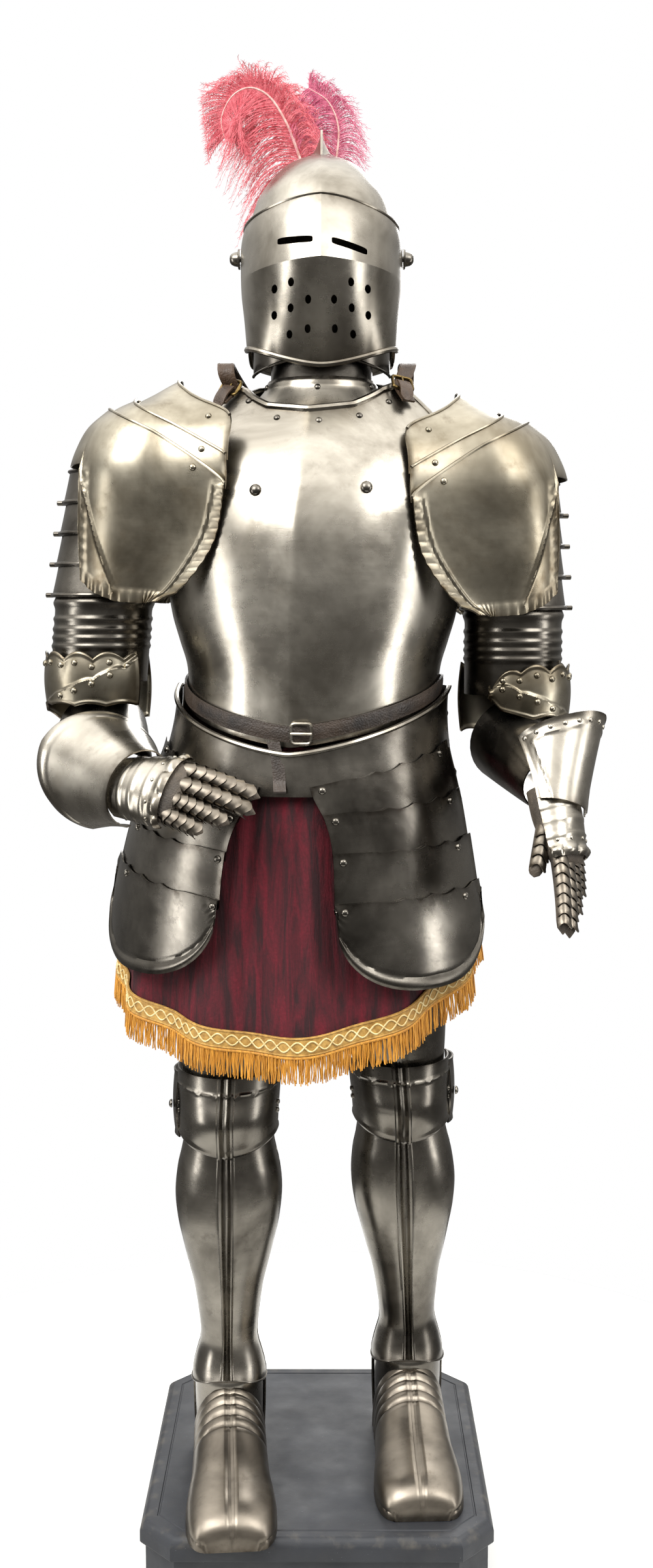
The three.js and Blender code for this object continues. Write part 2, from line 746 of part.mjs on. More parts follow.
function addSkull() {
  const point = (u, v) => {
    const angle = 360 * u;
    return helmPoint(angle, lerp(skullEdge(angle), SKULL_TOP, v));
  };
  const crown = vec(HELM_X, CROWN.y, CROWN.z);
  const skull = wallGeometry(point, {
    columns: 22,
    rows: [0, 0.34, 0.62, 0.82, 0.94, 1],
    ring: true,
    crown,
  });
  // The comb is a fin along the crown, behind the place where the raised visor stops.
  const comb = new THREE.Shape();
  comb.moveTo(-24, 1764);
  comb.lineTo(-8, 1786);
  comb.quadraticCurveTo(6, 1804, 16, 1808);
  comb.quadraticCurveTo(40, 1798, 64, 1757);
  comb.lineTo(46, 1762);
  comb.lineTo(20, 1776);
  comb.lineTo(-6, 1776);
  comb.closePath();
  const COMB_WALL = 5;
  const fin = new THREE.ExtrudeGeometry(comb, {
    depth: COMB_WALL,
    bevelEnabled: false,
    curveSegments: 4,
  });
  // The outline is drawn in Y and Z, and its thickness runs along X.
  fin.applyMatrix4(new THREE.Matrix4().makeBasis(vec(0, 1, 0), vec(0, 0, 1), vec(1, 0, 0)));
  fin.translate(HELM_X - COMB_WALL / 2, 0, 0);
  const whole = solidOf(skull).add(solidOf(fin));
  addPiece(suit, 'helm_skull', geometryOf(whole), BRIGHT_STEEL);

  // The bevor closes the face below the visor, and its foot arches up at the throat.
  const bevor = (u, v) => {
    const angle = lerp(-BEVOR.reach, BEVOR.reach, u);
    const foot = BEVOR.foot - BEVOR.arch * Math.abs(sin(angle)) ** 1.5;
    const depth = lerp(BEVOR.chin, BEVOR.brow, v);
    return ovalPoint([HELM_X, -4], BEVOR.half, depth, angle, lerp(foot, BEVOR.top, v));
  };
  addPlate('helm_bevor', DARK_STEEL, bevor, { columns: 12, rows: 1 });
}

// The visor's rear edge by height: it laps the pivots and draws forward to the chin.
const VISOR_REAR = table(['z', 'y'], [
  [1490, -38],
  [1530, -22],
  [1565, -6],
  [1600, 8],
  [1645, 14],
  [1680, -4],
]);
const VISOR_HALF = table(['z', 'half'], [
  [1490, 94.5],
  [1530, 98],
  [1565, 101.5],
  [1600, 105.5],
  [1645, 106.5],
  [1662, 105],
  [1680, 99.5],
  [1698, 91],
]);

// The visor's edges, and its prow: how far forward the crease stands, how far the faces above and
// below draw back from it, and the keel down its middle.
const visorFoot = (angle) => 1497 + 27 * Math.abs(sin(angle)) ** 1.5;
const visorTop = (angle) => 1697 - 19 * Math.abs(sin(angle)) ** 1.6;
const creaseLine = (angle) => CREASE_Z - 7 * Math.abs(sin(angle));
const PROW = { front: 152, above: 31, below: 71, keel: 4, keelAngle: 16 };

function visorPoint(angle, z) {
  const crease = creaseLine(angle);
  const above = (z - crease) / (visorTop(0) - CREASE_Z);
  const below = (crease - z) / (CREASE_Z - visorFoot(0));
  const keel = PROW.keel * Math.max(0, 1 - Math.abs(angle) / PROW.keelAngle);
  const back = z > crease ? PROW.above * above ** 1.1 : PROW.below * below ** 1.08;
  const front = PROW.front - back;
  const rear = read(VISOR_REAR, 'y', z);
  const rounded = Math.sign(angle) * Math.abs(sin(angle)) ** 0.92;
  const x = read(VISOR_HALF, 'half', z) * rounded;
  return vec(HELM_X + x, rear - (front + rear) * cos(angle) ** 0.92 - keel, z);
}

const BREATHS = table(['x', 'z'], [
  [37, 1589],
  [58, 1584],
  [16, 1569],
  [38, 1561],
  [59, 1555],
  [17, 1537],
  [40, 1532],
]);
const EYE = { x: 34, z: 1636, half: 22, high: 4.5, tilt: 5 };
const BREATH_RADIUS = 4.3;
const CUTTER = { long: 140, y: -125 }; // a cutter through the front wall alone

function eyeCutter(side) {
  const cutter = new THREE.BoxGeometry(2 * EYE.half, CUTTER.long, 2 * EYE.high);
  cutter.rotateY(side * EYE.tilt * RADIANS);
  cutter.translate(HELM_X + side * EYE.x, CUTTER.y, EYE.z);
  return solidOf(cutter);
}

function breathCutter(x, z) {
  const cutter = new THREE.CylinderGeometry(BREATH_RADIUS, BREATH_RADIUS, CUTTER.long, 6);
  cutter.translate(x, CUTTER.y, z);
  return solidOf(cutter);
}

function addVisor(visorGroup) {
  const columns = [-90, -82, -70, -56, -40, -26, -13, 0, 13, 26, 40, 56, 70, 82, 90];
  const CREASE_SHARE = 0.5;
  const point = (angle, v) => {
    const crease = creaseLine(angle);
    const z = v <= CREASE_SHARE
      ? lerp(visorFoot(angle), crease, v / CREASE_SHARE)
      : lerp(crease, visorTop(angle), (v - CREASE_SHARE) / (1 - CREASE_SHARE));
    return visorPoint(angle, z);
  };
  const shell = wallGeometry(point, {
    columns,
    rows: [0, 0.17, 0.33, 0.5, 0.66, 0.83, 1],
  });
  const PIVOT_HOLE = 4.3;
  const pin = new THREE.CylinderGeometry(PIVOT_HOLE, PIVOT_HOLE, 2 * 130, 10);
  pin.rotateZ(90 * RADIANS);
  pin.translate(HELM_X, 0, PIVOT_Z);
  let solid = solidOf(shell).subtract(solidOf(pin));
  for (const side of [-1, 1]) {
    solid = solid.subtract(eyeCutter(side));
    for (const { x, z } of BREATHS) {
      solid = solid.subtract(breathCutter(HELM_X + side * x, z));
    }
  }
  addPiece(visorGroup, 'helm_visor', geometryOf(solid), BRIGHT_STEEL);
}

// A domed nut on a washer, with a stem through the visor's ear to the skull.
function addPivot(name, out) {
  const profile = [
    [0, 0],
    [3.6, 0],
    [3.6, 5.2],
    [13, 5.2],
    [13, 7.4],
    [10, 8.6],
    [8.5, 14],
    [5, 18],
    [0, 19],
  ].map(([radius, along]) => new THREE.Vector2(radius, along));
  const pivot = new THREE.LatheGeometry(profile, 12);
  pivot.rotateZ(-out * 90 * RADIANS);
  const mesh = addPiece(suit, `visor_pivot_${name}`, pivot, DARK_STEEL);
  mesh.position.set(HELM_X + out * (read(SKULL, 'half', PIVOT_Z) + GAP), 0, PIVOT_Z);
}

function addPlume() {
  const rings = PLUME.map(({ z, x, y, half, depth }) => steps(12).slice(0, -1).map((u) => {
    return vec(x + half * sin(360 * u), y - depth * cos(360 * u), z);
  }));
  addPiece(suit, 'plume', loftGeometry(rings), FEATHER);
  const HOLDER = { y: 129, foot: 1688, top: 1732.6, radius: 8 };
  const tube = (u, v) => {
    const z = lerp(HOLDER.foot, HOLDER.top, v);
    return ovalPoint([HELM_X, HOLDER.y], HOLDER.radius, HOLDER.radius, 360 * u, z);
  };
  addPlate('plume_holder', BRASS, tube, { columns: 8, rows: 1, ring: true, wall: 1.5 });
}

// ---------------------------------------------------------------- shoulders and arms

// `w` runs from -1 at the front edge over the chest, by 0 at the outside, to 1 behind.
function pauldronPoint(arm, w, z) {
  const away = Math.abs(w);
  const centre = read(PAULDRON, 'centre', z);
  const depth = read(PAULDRON, 'depth', z);
  let out = 0;
  let y = 0;
  if (away <= PAULDRON_ROUND) {
    const turn = 90 * (1 - away / PAULDRON_ROUND);
    out = centre + read(PAULDRON, 'reach', z) * sin(turn);
    y = depth * cos(turn);
  } else {
    const share = (away - PAULDRON_ROUND) / (1 - PAULDRON_ROUND);
    out = lerp(centre, read(PAULDRON, 'inner', z), share);
    y = depth * (1 + 0.17 * share);
  }
  return vec(arm.out * (out + arm.spread), y * Math.sign(w), z + arm.lift);
}

// The shoulder's three bands meet on two lines, each higher at the outside than at the edges.
const bandLine = (edge, rise, bend) => (w) => edge + rise * cos(90 * w) ** bend;
const lineB = bandLine(1344, 106, 0.8);
const lineA = bandLine(1381, 86, 0.9);
const pauldronTop = bandLine(1435, 61, 0.6);

function addPauldron(name, arm) {
  const band = (low, high) => (u, v) => {
    const w = arm.out * u;
    return pauldronPoint(arm, w, lerp(low(w), high(w), v));
  };
  const foot = (w) => readStraight(PAULDRON_EDGE, 'z', Math.abs(w), 'w');
  const columns = PAULDRON_COLUMNS;
  addPlate(`pauldron_${name}`, GOLDEN_STEEL, band(foot, lineB), {
    columns,
    rows: [0, 0.3, 0.55, 0.75, 0.9, 1],
  });
  const UNDER = 7;
  const CLEAR = 0.6; // more than the lap's step, for the facets of the plate outside
  addPlate(`pauldron_${name}_lame_2`, GOLDEN_STEEL, band((w) => lineB(w) - UNDER, lineA), {
    columns,
    rows: 2,
    shift: LAP_STEP + CLEAR,
  });
  addPlate(`pauldron_${name}_lame_1`, GOLDEN_STEEL, band((w) => lineA(w) - UNDER, pauldronTop), {
    columns,
    rows: 3,
    shift: 2 * (LAP_STEP + CLEAR),
  });
}

const UPPER_ARM = { foot: 1092, top: 1370, roll: 1205, radius: 65, lip: 68 };
const ARM_LAMES = { count: 4, low: 66.5, high: 57, flare: 1.6 };

// The upper arm's four lames, each flaring over the next one, and the closed tube below them.
function addUpperArm(name, arm) {
  const [low, high] = arm.upper;
  const middle = (z) => {
    const t = (z - UPPER_ARM.roll) / (UPPER_ARM.top - UPPER_ARM.roll);
    return [lerp(low[0], high[0], t), lerp(low[1], high[1], t)];
  };
  const lames = (u, v) => {
    const z = lerp(UPPER_ARM.roll + 2, UPPER_ARM.top, v);
    const flare = ARM_LAMES.flare * Math.abs(cos(ARM_LAMES.count * 180 * v));
    const radius = lerp(ARM_LAMES.low, ARM_LAMES.high, v) + flare;
    return ovalPoint(middle(z), radius, radius, 360 * u, z + arm.lift);
  };
  addPlate(`arm_lames_${name}`, DARK_STEEL, lames, {
    columns: 12,
    rows: ARM_LAMES.count,
    ring: true,
  });
  const tube = (u, v) => {
    const z = lerp(UPPER_ARM.foot, UPPER_ARM.roll, v);
    const radius = v > 0.9 ? UPPER_ARM.lip : UPPER_ARM.radius;
    return ovalPoint(middle(z), radius, radius, 360 * u, z + arm.lift);
  };
  addPlate(`rerebrace_${name}`, DARK_STEEL, tube, {
    columns: 14,
    rows: [0, 0.85, 0.93, 1],
    ring: true,
  });
}

// The elbow's band stands clear of the forearm in front and drops over the elbow's point behind.
const COUTER = { foot: 1037, rise: 25, top: 1131, radius: 71.5, bulge: 4, outer: 3 };
const couterFoot = (angle) => COUTER.foot + COUTER.rise * clamp(cos(angle) + 0.5, 0, 1);

function addElbow(name, arm) {
  const point = (u, v) => {
    const angle = lerp(...arm.couter, u);
    const outer = COUTER.outer * Math.max(0, sin(angle * arm.out));
    const radius = COUTER.radius + COUTER.bulge * sin(180 * v) + outer;
    const z = lerp(couterFoot(angle), COUTER.top, v) + arm.lift;
    return ovalPoint(arm.elbow, radius, radius, angle, z);
  };
  addPlate(`couter_${name}`, GOLDEN_STEEL, point, { columns: 14, rows: 3 });
}

const VAMBRACE = { wrist: 38, elbow: 62, flare: 0.9 };
const CUFF = { half: 49, thick: 41, flare: 1.25, slant: 0.2, point: 0.06, pointAngle: 60 };

function addForearm(name, arm) {
  const bone = frameAlong(vec(...arm.forearm.to), vec(...arm.forearm.from), vec(0, 0, 1));
  const vambrace = (u, v) => {
    const radius = lerp(VAMBRACE.wrist, VAMBRACE.elbow, v ** VAMBRACE.flare);
    return onFrame(bone, bone.length * v, radius * cos(360 * u), radius * sin(360 * u));
  };
  addPlate(`vambrace_${name}`, DARK_STEEL, vambrace, { columns: 12, rows: 2, ring: true });

  // The cuff is an open bell, oval at the wrist, with a point on the arm's outer side.
  const { rim, radius, point } = arm.cuff;
  const flare = frameAlong(vec(...arm.hand.wrist), vec(...rim), vec(...point));
  const cuff = (u, v) => {
    const low = lerp(arm.span.wrist[0], arm.span.rim[0], v);
    const high = lerp(arm.span.wrist[1], arm.span.rim[1], v);
    const angle = arm.out * lerp(low, high, u);
    const pointed = CUFF.point * Math.max(0, 1 - Math.abs(angle) / CUFF.pointAngle);
    const flared = v ** CUFF.flare;
    const wide = radius * (1 + pointed);
    const along = flare.length * v * (1 + CUFF.slant * cos(angle) + pointed);
    const front = lerp(CUFF.thick, wide, flared) * cos(angle);
    return onFrame(flare, along, front, lerp(CUFF.half, wide, flared) * sin(angle));
  };
  addPlate(`gauntlet_cuff_${name}`, BRIGHT_STEEL, cuff, { columns: 14, rows: 3 });
}

// Fingers: place across the hand, start, length and spread in degrees.
const FINGERS = table(['across', 'start', 'length', 'spread'], [
  [31, 62, 98, 2],
  [10.5, 66, 98, 1],
  [-10.5, 64, 76, -1],
  [-31, 60, 54, -3],
]);
const PALM = table(['s', 'width', 'thick'], [
  [-28, 34, 27],
  [8, 38, 28],
  [40, 42, 23],
  [62, 44, 18],
  [78, 42, 14],
]);
const GLOVE_WALL = 1.8;
const FINGER_SIDES = 6;
const FINGER_RADIUS = { root: 10.2, tip: 7.6 };
const THUMB = table(['share', 'radius'], [[0, 13], [0.5, 12], [1, 8.5]]);
const THUMB_BASE = { along: 12, front: -4, side: 20 };
const THUMB_TIP = { along: 82, front: -32, side: 46 };
const HAND_PLATE = { knuckles: 66, wrist: -22, reach: 96, wide: 4.5, thick: 5.5, wall: 1.6 };

function addHand(name, arm) {
  const wrist = vec(...arm.hand.wrist);
  const reach = wrist.clone().add(vec(...arm.hand.along));
  const hand = frameAlong(wrist, reach, vec(...arm.hand.back));
  const thumbward = arm.out;

  const palm = (inset, from) => loftGeometry(PALM.map(({ s, width, thick }, k) => {
    const [w, t] = [width - inset, thick - inset];
    const distance = k === 0 ? s - from : s - (k === PALM.length - 1 ? inset : 0);
    return steps(10).slice(0, -1).map((u) => {
      return onFrame(hand, distance, t * cos(360 * u), w * sin(360 * u));
    });
  }));
  const finger = (row, inset) => {
    const rings = [0, 0.55, 1].map((share) => {
      const bend = arm.hand.bend * lerp(0.6, 1, share);
      const length = row.length * share - (share === 1 ? inset : 0);
      const across = thumbward * (row.across + length * sin(row.spread));
      const centre = onFrame(hand, row.start + length * cos(bend), -length * sin(bend), across);
      const radius = lerp(FINGER_RADIUS.root, FINGER_RADIUS.tip, share) - inset;
      return steps(FINGER_SIDES).slice(0, -1).map((u) => centre.clone()
        .addScaledVector(hand.front, radius * cos(360 * u))
        .addScaledVector(hand.side, radius * sin(360 * u)));
    });
    return solidOf(loftGeometry(rings));
  };
  const thumb = (inset) => {
    const place = ({ along, front, side }, short) => {
      return onFrame(hand, along - short, front, thumbward * side);
    };
    const frame = frameAlong(place(THUMB_BASE, 0), place(THUMB_TIP, inset), hand.front);
    const rings = THUMB.map(({ share, radius }) => {
      return circle(frame, frame.length * share, radius - inset, FINGER_SIDES);
    });
    return solidOf(loftGeometry(rings));
  };
  const body = (inset, from) => {
    let solid = solidOf(palm(inset, from)).add(thumb(inset));
    for (const row of FINGERS) {
      solid = solid.add(finger(row, inset));
    }
    return solid;
  };
  const glove = body(0, 0).subtract(body(GLOVE_WALL, 4));
  addPiece(suit, `glove_${name}`, geometryOf(glove), GLOVE_LEATHER);

  // The plate over the back of the hand.
  const plate = (u, v) => {
    const s = lerp(HAND_PLATE.knuckles, HAND_PLATE.wrist, v);
    const angle = lerp(-HAND_PLATE.reach, HAND_PLATE.reach, u);
    const width = read(PALM, 'width', s, 's') + HAND_PLATE.wide;
    const thick = read(PALM, 'thick', s, 's') + HAND_PLATE.thick;
    return onFrame(hand, s, thick * cos(angle), -width * sin(angle));
  };
  addPlate(`gauntlet_hand_${name}`, BRIGHT_STEEL, plate, {
    columns: 8,
    rows: 2,
    wall: HAND_PLATE.wall,
  });
}

// ---------------------------------------------------------------- legs

// The leg's axis at a height, from the ankle by the knee to the hip.
function legMiddle(leg, z) {
  const joints = table(['z', 'x', 'y'], [
    [160, ...leg.ankle],
    [500, ...leg.knee],
    [880, ...leg.hip],
  ]);
  return [readStraight(joints, 'x', z, 'z'), readStraight(joints, 'y', z, 'z')];
}

function legPoint(leg, rows, angle, z) {
  return ovalPoint(legMiddle(leg, z), read(rows, 'half', z), depthAt(rows, angle, z), angle, z);
}

// The greave's lower edge arches over the instep and cups the heel.
const GREAVE = { instep: 124, arch: 16, reach: 100, heel: 10, top: 462 };
const CUISSE = { foot: 553, top: 828 };
const KNEE_CAP = { reach: 98, foot: 452, rise: 20, top: 562 };
const WING = { y: 18, z: 506, out: 79, deep: 44, high: 46, wall: 2.4 };
const KNEE_STUD = { radius: 5, long: 13, out: 73.5, y: -4 };

function greaveEdge(angle) {
  const fromFront = Math.abs(angle > 180 ? angle - 360 : angle);
  const instep = GREAVE.instep - GREAVE.arch * Math.abs(sin(angle)) ** 2;
  return fromFront < GREAVE.reach ? instep : GREAVE.heel;
}

function addLeg(name, leg) {
  const greave = (u, v) => {
    const angle = 360 * u;
    return legPoint(leg, LEG, angle, lerp(greaveEdge(angle), GREAVE.top, v));
  };
  addPlate(`greave_${name}`, DARK_STEEL, greave, {
    columns: 16,
    rows: [0, 0.2, 0.36, 0.56, 0.76, 0.9, 1],
    ring: true,
  });
  const thigh = (u, v) => legPoint(leg, THIGH, 360 * u, lerp(CUISSE.foot, CUISSE.top, v));
  addPlate(`cuisse_${name}`, DARK_STEEL, thigh, { columns: 14, rows: 2, ring: true });

  const cap = (u, v) => {
    const angle = lerp(-KNEE_CAP.reach, KNEE_CAP.reach, u);
    const foot = KNEE_CAP.foot + KNEE_CAP.rise * Math.abs(sin(angle)) ** 2;
    const z = lerp(foot, KNEE_CAP.top, v);
    return ovalPoint(legMiddle(leg, z), read(KNEE, 'half', z), read(KNEE, 'front', z), angle, z);
  };
  // The wing is a shallow fan over the knee's outer side.
  const [kneeX, kneeY] = legMiddle(leg, WING.z);
  const wing = (u, v) => {
    const [across, up] = [2 * u - 1, 2 * v - 1];
    const narrow = 1 - 0.35 * up ** 2;
    const x = leg.out * (WING.out - 9 * across ** 2 - 3 * up ** 2);
    const y = WING.y + leg.out * WING.deep * across * narrow;
    return vec(kneeX + x, kneeY + y, WING.z + WING.high * up);
  };
  const poleyn = solidOf(wallGeometry(cap, { columns: 12, rows: 4 }))
    .add(solidOf(wallGeometry(wing, { columns: 4, rows: 3, wall: WING.wall })));
  const stud = new THREE.CylinderGeometry(KNEE_STUD.radius, KNEE_STUD.radius, KNEE_STUD.long, 8);
  stud.rotateZ(90 * RADIANS);
  stud.translate(kneeX + leg.out * KNEE_STUD.out, kneeY + KNEE_STUD.y, WING.z);
  addPiece(suit, `poleyn_${name}`, geometryOf(poleyn.add(solidOf(stud))), DARK_STEEL);
}

// The foot's plate reaches back over the instep, and further at the sides than on top.
const SABATON = { reach: 205, sides: 42 };

function addSabaton(name, leg) {
  const toe = vec(leg.toe[0], leg.toe[1], 0);
  const heel = vec(leg.ankle[0], leg.ankle[1], 0);
  const foot = frameAlong(toe, heel, vec(0, 0, 1));
  const point = (u, v) => {
    const across = 2 * u - 1;
    const reach = SABATON.reach + SABATON.sides * Math.abs(across) ** 3;
    const s = reach * v;
    const angle = 90 * across;
    const height = read(FOOT, 'height', s, 's');
    const up = Math.max(GAP, height * Math.max(0, cos(angle)) ** 0.62);
    return onFrame(foot, s, up, read(FOOT, 'half', s, 's') * sin(angle) * -1);
  };
  addPlate(`sabaton_${name}`, BROWN_STEEL, point, {
    columns: [0, 0.05, 0.15, 0.28, 0.4, 0.5, 0.6, 0.72, 0.85, 0.95, 1],
    rows: [0, 0.03, 0.12, 0.3, 0.46, 0.6, 0.78, 1],
  });
}

// ---------------------------------------------------------------- plinth

// The plinth's top slab stands out over its sides, and its upper edge is bevelled.
const SLAB = { thick: 30, slope: 4, inset: 7, bevel: 9 };

function addPlinth(root) {
  const ring = (z, inset) => {
    const half = PLINTH_WIDTH / 2 - inset;
    const cut = half - PLINTH_CORNER + 0.4 * inset;
    return [
      [half, -cut], [half, cut], [cut, half], [-cut, half],
      [-half, cut], [-half, -cut], [-cut, -half], [cut, -half],
    ].map(([x, y]) => vec(x, y, z));
  };
  const plinth = loftGeometry([
    ring(0, SLAB.inset),
    ring(PLINTH_HEIGHT - SLAB.thick - SLAB.slope, SLAB.inset),
    ring(PLINTH_HEIGHT - SLAB.thick, 0),
    ring(PLINTH_HEIGHT - SLAB.bevel, 0),
    ring(PLINTH_HEIGHT, SLAB.bevel),
  ]);
  addPiece(root, 'plinth', plinth, PAINTED_WOOD);
}

// ---------------------------------------------------------------- the whole

const root = new THREE.Group();
const visorGroup = new THREE.Group();
suit.add(visorGroup);
root.add(suit);

addPlinth(root);
addSkull();
addVisor(visorGroup);
addPlume();
addGorget();
addCuirass();
addBelt();
addFauld();
addSkirt();
for (const [name, leg] of Object.entries(LEGS)) {
  addTasset(name, leg.out);
  addPivot(name, leg.out);
  addShoulderStrap(name, leg.out);
  addLeg(name, leg);
  addSabaton(name, leg);
}
for (const [name, arm] of Object.entries(ARMS)) {
  addPauldron(name, arm);
  addUpperArm(name, arm);
  addElbow(name, arm);
  addForearm(name, arm);
  addHand(name, arm);
}

export default root;
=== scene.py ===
"""A suit of plate armour on a plinth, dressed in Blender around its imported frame.

Metres, +Z up, and the wearer faces -Y. Heights in the tables are above the soles, and SOLE, the
plinth's top, is added at the end. A plate is a wall over a surface point(u, v), with u round the
piece to the wearer's left and v upwards. Angles are in degrees: 0 in front, 90 at +X, 180 behind.
"""
import math
import random

import bpy
import numpy as np
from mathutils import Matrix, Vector
from mathutils.bvhtree import BVHTree


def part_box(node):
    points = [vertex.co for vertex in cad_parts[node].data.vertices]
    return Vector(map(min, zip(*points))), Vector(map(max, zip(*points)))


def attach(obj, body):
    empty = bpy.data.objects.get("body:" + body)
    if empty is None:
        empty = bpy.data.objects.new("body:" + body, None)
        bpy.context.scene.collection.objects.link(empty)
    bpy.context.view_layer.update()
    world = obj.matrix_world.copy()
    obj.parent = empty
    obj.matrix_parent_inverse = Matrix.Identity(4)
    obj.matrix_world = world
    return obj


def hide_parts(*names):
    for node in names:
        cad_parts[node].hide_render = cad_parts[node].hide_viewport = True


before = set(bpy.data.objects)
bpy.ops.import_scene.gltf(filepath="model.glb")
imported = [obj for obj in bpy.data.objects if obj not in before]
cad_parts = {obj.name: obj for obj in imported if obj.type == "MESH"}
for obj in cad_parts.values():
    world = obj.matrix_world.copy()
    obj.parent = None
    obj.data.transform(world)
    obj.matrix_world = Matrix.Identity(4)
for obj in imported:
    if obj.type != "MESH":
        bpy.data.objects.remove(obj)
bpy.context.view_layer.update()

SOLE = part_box("plinth")[1].z
chance = random.Random(7)

# ---------------------------------------------------------------- driving dimensions

STEEL = 0.002  # wall of a plate
LAP_STEP = 0.0038  # how far a lapping plate stands off the one below it
HELM_X = 0.006  # the helmet's and neck's middle
PIVOT_Z = 1.645
BODY_TURN = -7  # the trunk faces a little to its own right
CREASE_Z = 1.615  # the visor's prow line
BROW_Z = 1.668
BRAID_HEIGHT = 0.024
FRINGE_LENGTH = 0.038
BELT_HEIGHT = 0.020


def table(names, rows):
    return [dict(zip(names, row)) for row in rows]


# The trunk, the hip plates and the skirt: middle, half width, depths in front and behind, and how
# deep the skirt's folds are.
TRUNK = table(["z", "x", "half", "front", "back"], [
    [1.015, -0.010, 0.172, 0.178, 0.126],
    [1.060, -0.006, 0.168, 0.181, 0.120],
    [1.112, -0.004, 0.170, 0.184, 0.118],
    [1.147, -0.004, 0.180, 0.187, 0.122],
    [1.182, -0.004, 0.190, 0.189, 0.128],
    [1.230, -0.004, 0.197, 0.189, 0.138],
    [1.290, -0.003, 0.201, 0.184, 0.148],
    [1.340, -0.001, 0.203, 0.171, 0.152],
    [1.390, 0.001, 0.194, 0.146, 0.144],
    [1.430, 0.003, 0.172, 0.113, 0.122],
    [1.462, 0.004, 0.140, 0.085, 0.098],
    [1.484, 0.005, 0.113, 0.070, 0.080],
    [1.500, 0.005, 0.095, 0.060, 0.070],
])
HIPS = table(["z", "x", "half", "front", "back"], [
    [0.700, -0.025, 0.252, 0.213, 0.194],
    [0.770, -0.024, 0.246, 0.211, 0.189],
    [0.830, -0.023, 0.237, 0.209, 0.181],
    [0.885, -0.021, 0.226, 0.206, 0.171],
    [0.930, -0.018, 0.215, 0.203, 0.161],
    [0.966, -0.015, 0.204, 0.200, 0.151],
    [1.010, -0.011, 0.190, 0.195, 0.138],
    [1.060, -0.007, 0.183, 0.193, 0.132],
    [1.100, -0.005, 0.184, 0.195, 0.131],
])
SKIRT = table(["z", "x", "half", "front", "back", "fold"], [
    [0.590, -0.024, 0.251, 0.203, 0.194, 0.008],
    [0.630, -0.024, 0.249, 0.202, 0.191, 0.008],
    [0.700, -0.024, 0.243, 0.200, 0.184, 0.007],
    [0.780, -0.023, 0.231, 0.198, 0.174, 0.005],
    [0.860, -0.021, 0.214, 0.194, 0.161, 0.004],
    [0.930, -0.018, 0.197, 0.189, 0.146, 0.002],
    [1.000, -0.011, 0.176, 0.178, 0.126, 0.001],
])
SKULL = table(["z", "half", "front", "back"], [
    [1.502, 0.097, 0.090, 0.116],
    [1.520, 0.095, 0.092, 0.108],
    [1.560, 0.0955, 0.096, 0.108],
    [1.600, 0.099, 0.110, 0.119],
    [1.645, 0.1015, 0.128, 0.128],
    [1.668, 0.099, 0.126, 0.126],
    [1.691, 0.092, 0.1195, 0.119],
    [1.717, 0.083, 0.106, 0.104],
    [1.736, 0.070, 0.088, 0.087],
    [1.752, 0.056, 0.066, 0.068],
    [1.763, 0.042, 0.044, 0.050],
    [1.772, 0.022, 0.020, 0.030],
])
# A pauldron at each height: its inner border, and the middle, reach and depth of its round part.
PAULDRON = table(["z", "inner", "centre", "reach", "depth"], [
    [1.197, 0.199, 0.222, 0.112, 0.118],
    [1.212, 0.172, 0.222, 0.112, 0.120],
    [1.251, 0.139, 0.222, 0.112, 0.125],
    [1.284, 0.123, 0.221, 0.112, 0.128],
    [1.344, 0.114, 0.217, 0.112, 0.132],
    [1.375, 0.114, 0.214, 0.113, 0.131],
    [1.400, 0.113, 0.208, 0.110, 0.126],
    [1.424, 0.110, 0.201, 0.103, 0.117],
    [1.441, 0.112, 0.195, 0.090, 0.105],
    [1.453, 0.119, 0.188, 0.080, 0.094],
    [1.463, 0.127, 0.180, 0.066, 0.082],
    [1.475, 0.137, 0.172, 0.050, 0.066],
    [1.487, 0.147, 0.167, 0.034, 0.050],
    [1.498, 0.153, 0.162, 0.018, 0.034],
])

PAULDRON_ROUND = 0.62  # the share of a pauldron, from its middle, that wraps round the shoulder
# Its lower border by w, which is 0 at the outermost line and 1 at the inner border.
PAULDRON_EDGE = table(["w", "z"], [
    [0, 1.375],
    [0.26, 1.375],
    [0.30, 1.227],
    [0.38, 1.211],
    [0.50, 1.199],
    [0.62, 1.197],
    [1, 1.197],
])
LEG = table(["z", "half", "front", "back"], [
    [0.010, 0.050, 0.050, 0.056],
    [0.060, 0.052, 0.054, 0.057],
    [0.115, 0.052, 0.060, 0.055],
    [0.135, 0.048, 0.050, 0.050],
    [0.168, 0.040, 0.043, 0.042],
    [0.207, 0.043, 0.045, 0.045],
    [0.246, 0.049, 0.049, 0.053],
    [0.275, 0.056, 0.053, 0.062],
    [0.305, 0.063, 0.057, 0.070],
    [0.342, 0.071, 0.061, 0.078],
    [0.380, 0.0745, 0.063, 0.081],
    [0.418, 0.071, 0.063, 0.076],
    [0.440, 0.066, 0.061, 0.068],
    [0.465, 0.061, 0.058, 0.062],
])
KNEE = table(["z", "half", "front"], [
    [0.448, 0.0665, 0.072],
    [0.480, 0.069, 0.086],
    [0.505, 0.070, 0.090],
    [0.530, 0.071, 0.083],
    [0.565, 0.0725, 0.076],
])
THIGH = table(["z", "half", "front", "back"], [
    [0.552, 0.065, 0.066, 0.062],
    [0.600, 0.070, 0.072, 0.068],
    [0.700, 0.078, 0.080, 0.076],
    [0.830, 0.086, 0.087, 0.084],
])
# The foot by distance from the toe.
FOOT = table(["s", "half", "height"], [
    [0, 0.036, 0.012],
    [0.006, 0.045, 0.030],
    [0.025, 0.054, 0.043],
    [0.060, 0.058, 0.051],
    [0.095, 0.056, 0.060],
    [0.125, 0.052, 0.073],
    [0.160, 0.050, 0.093],
    [0.200, 0.049, 0.112],
    [0.260, 0.049, 0.118],
])
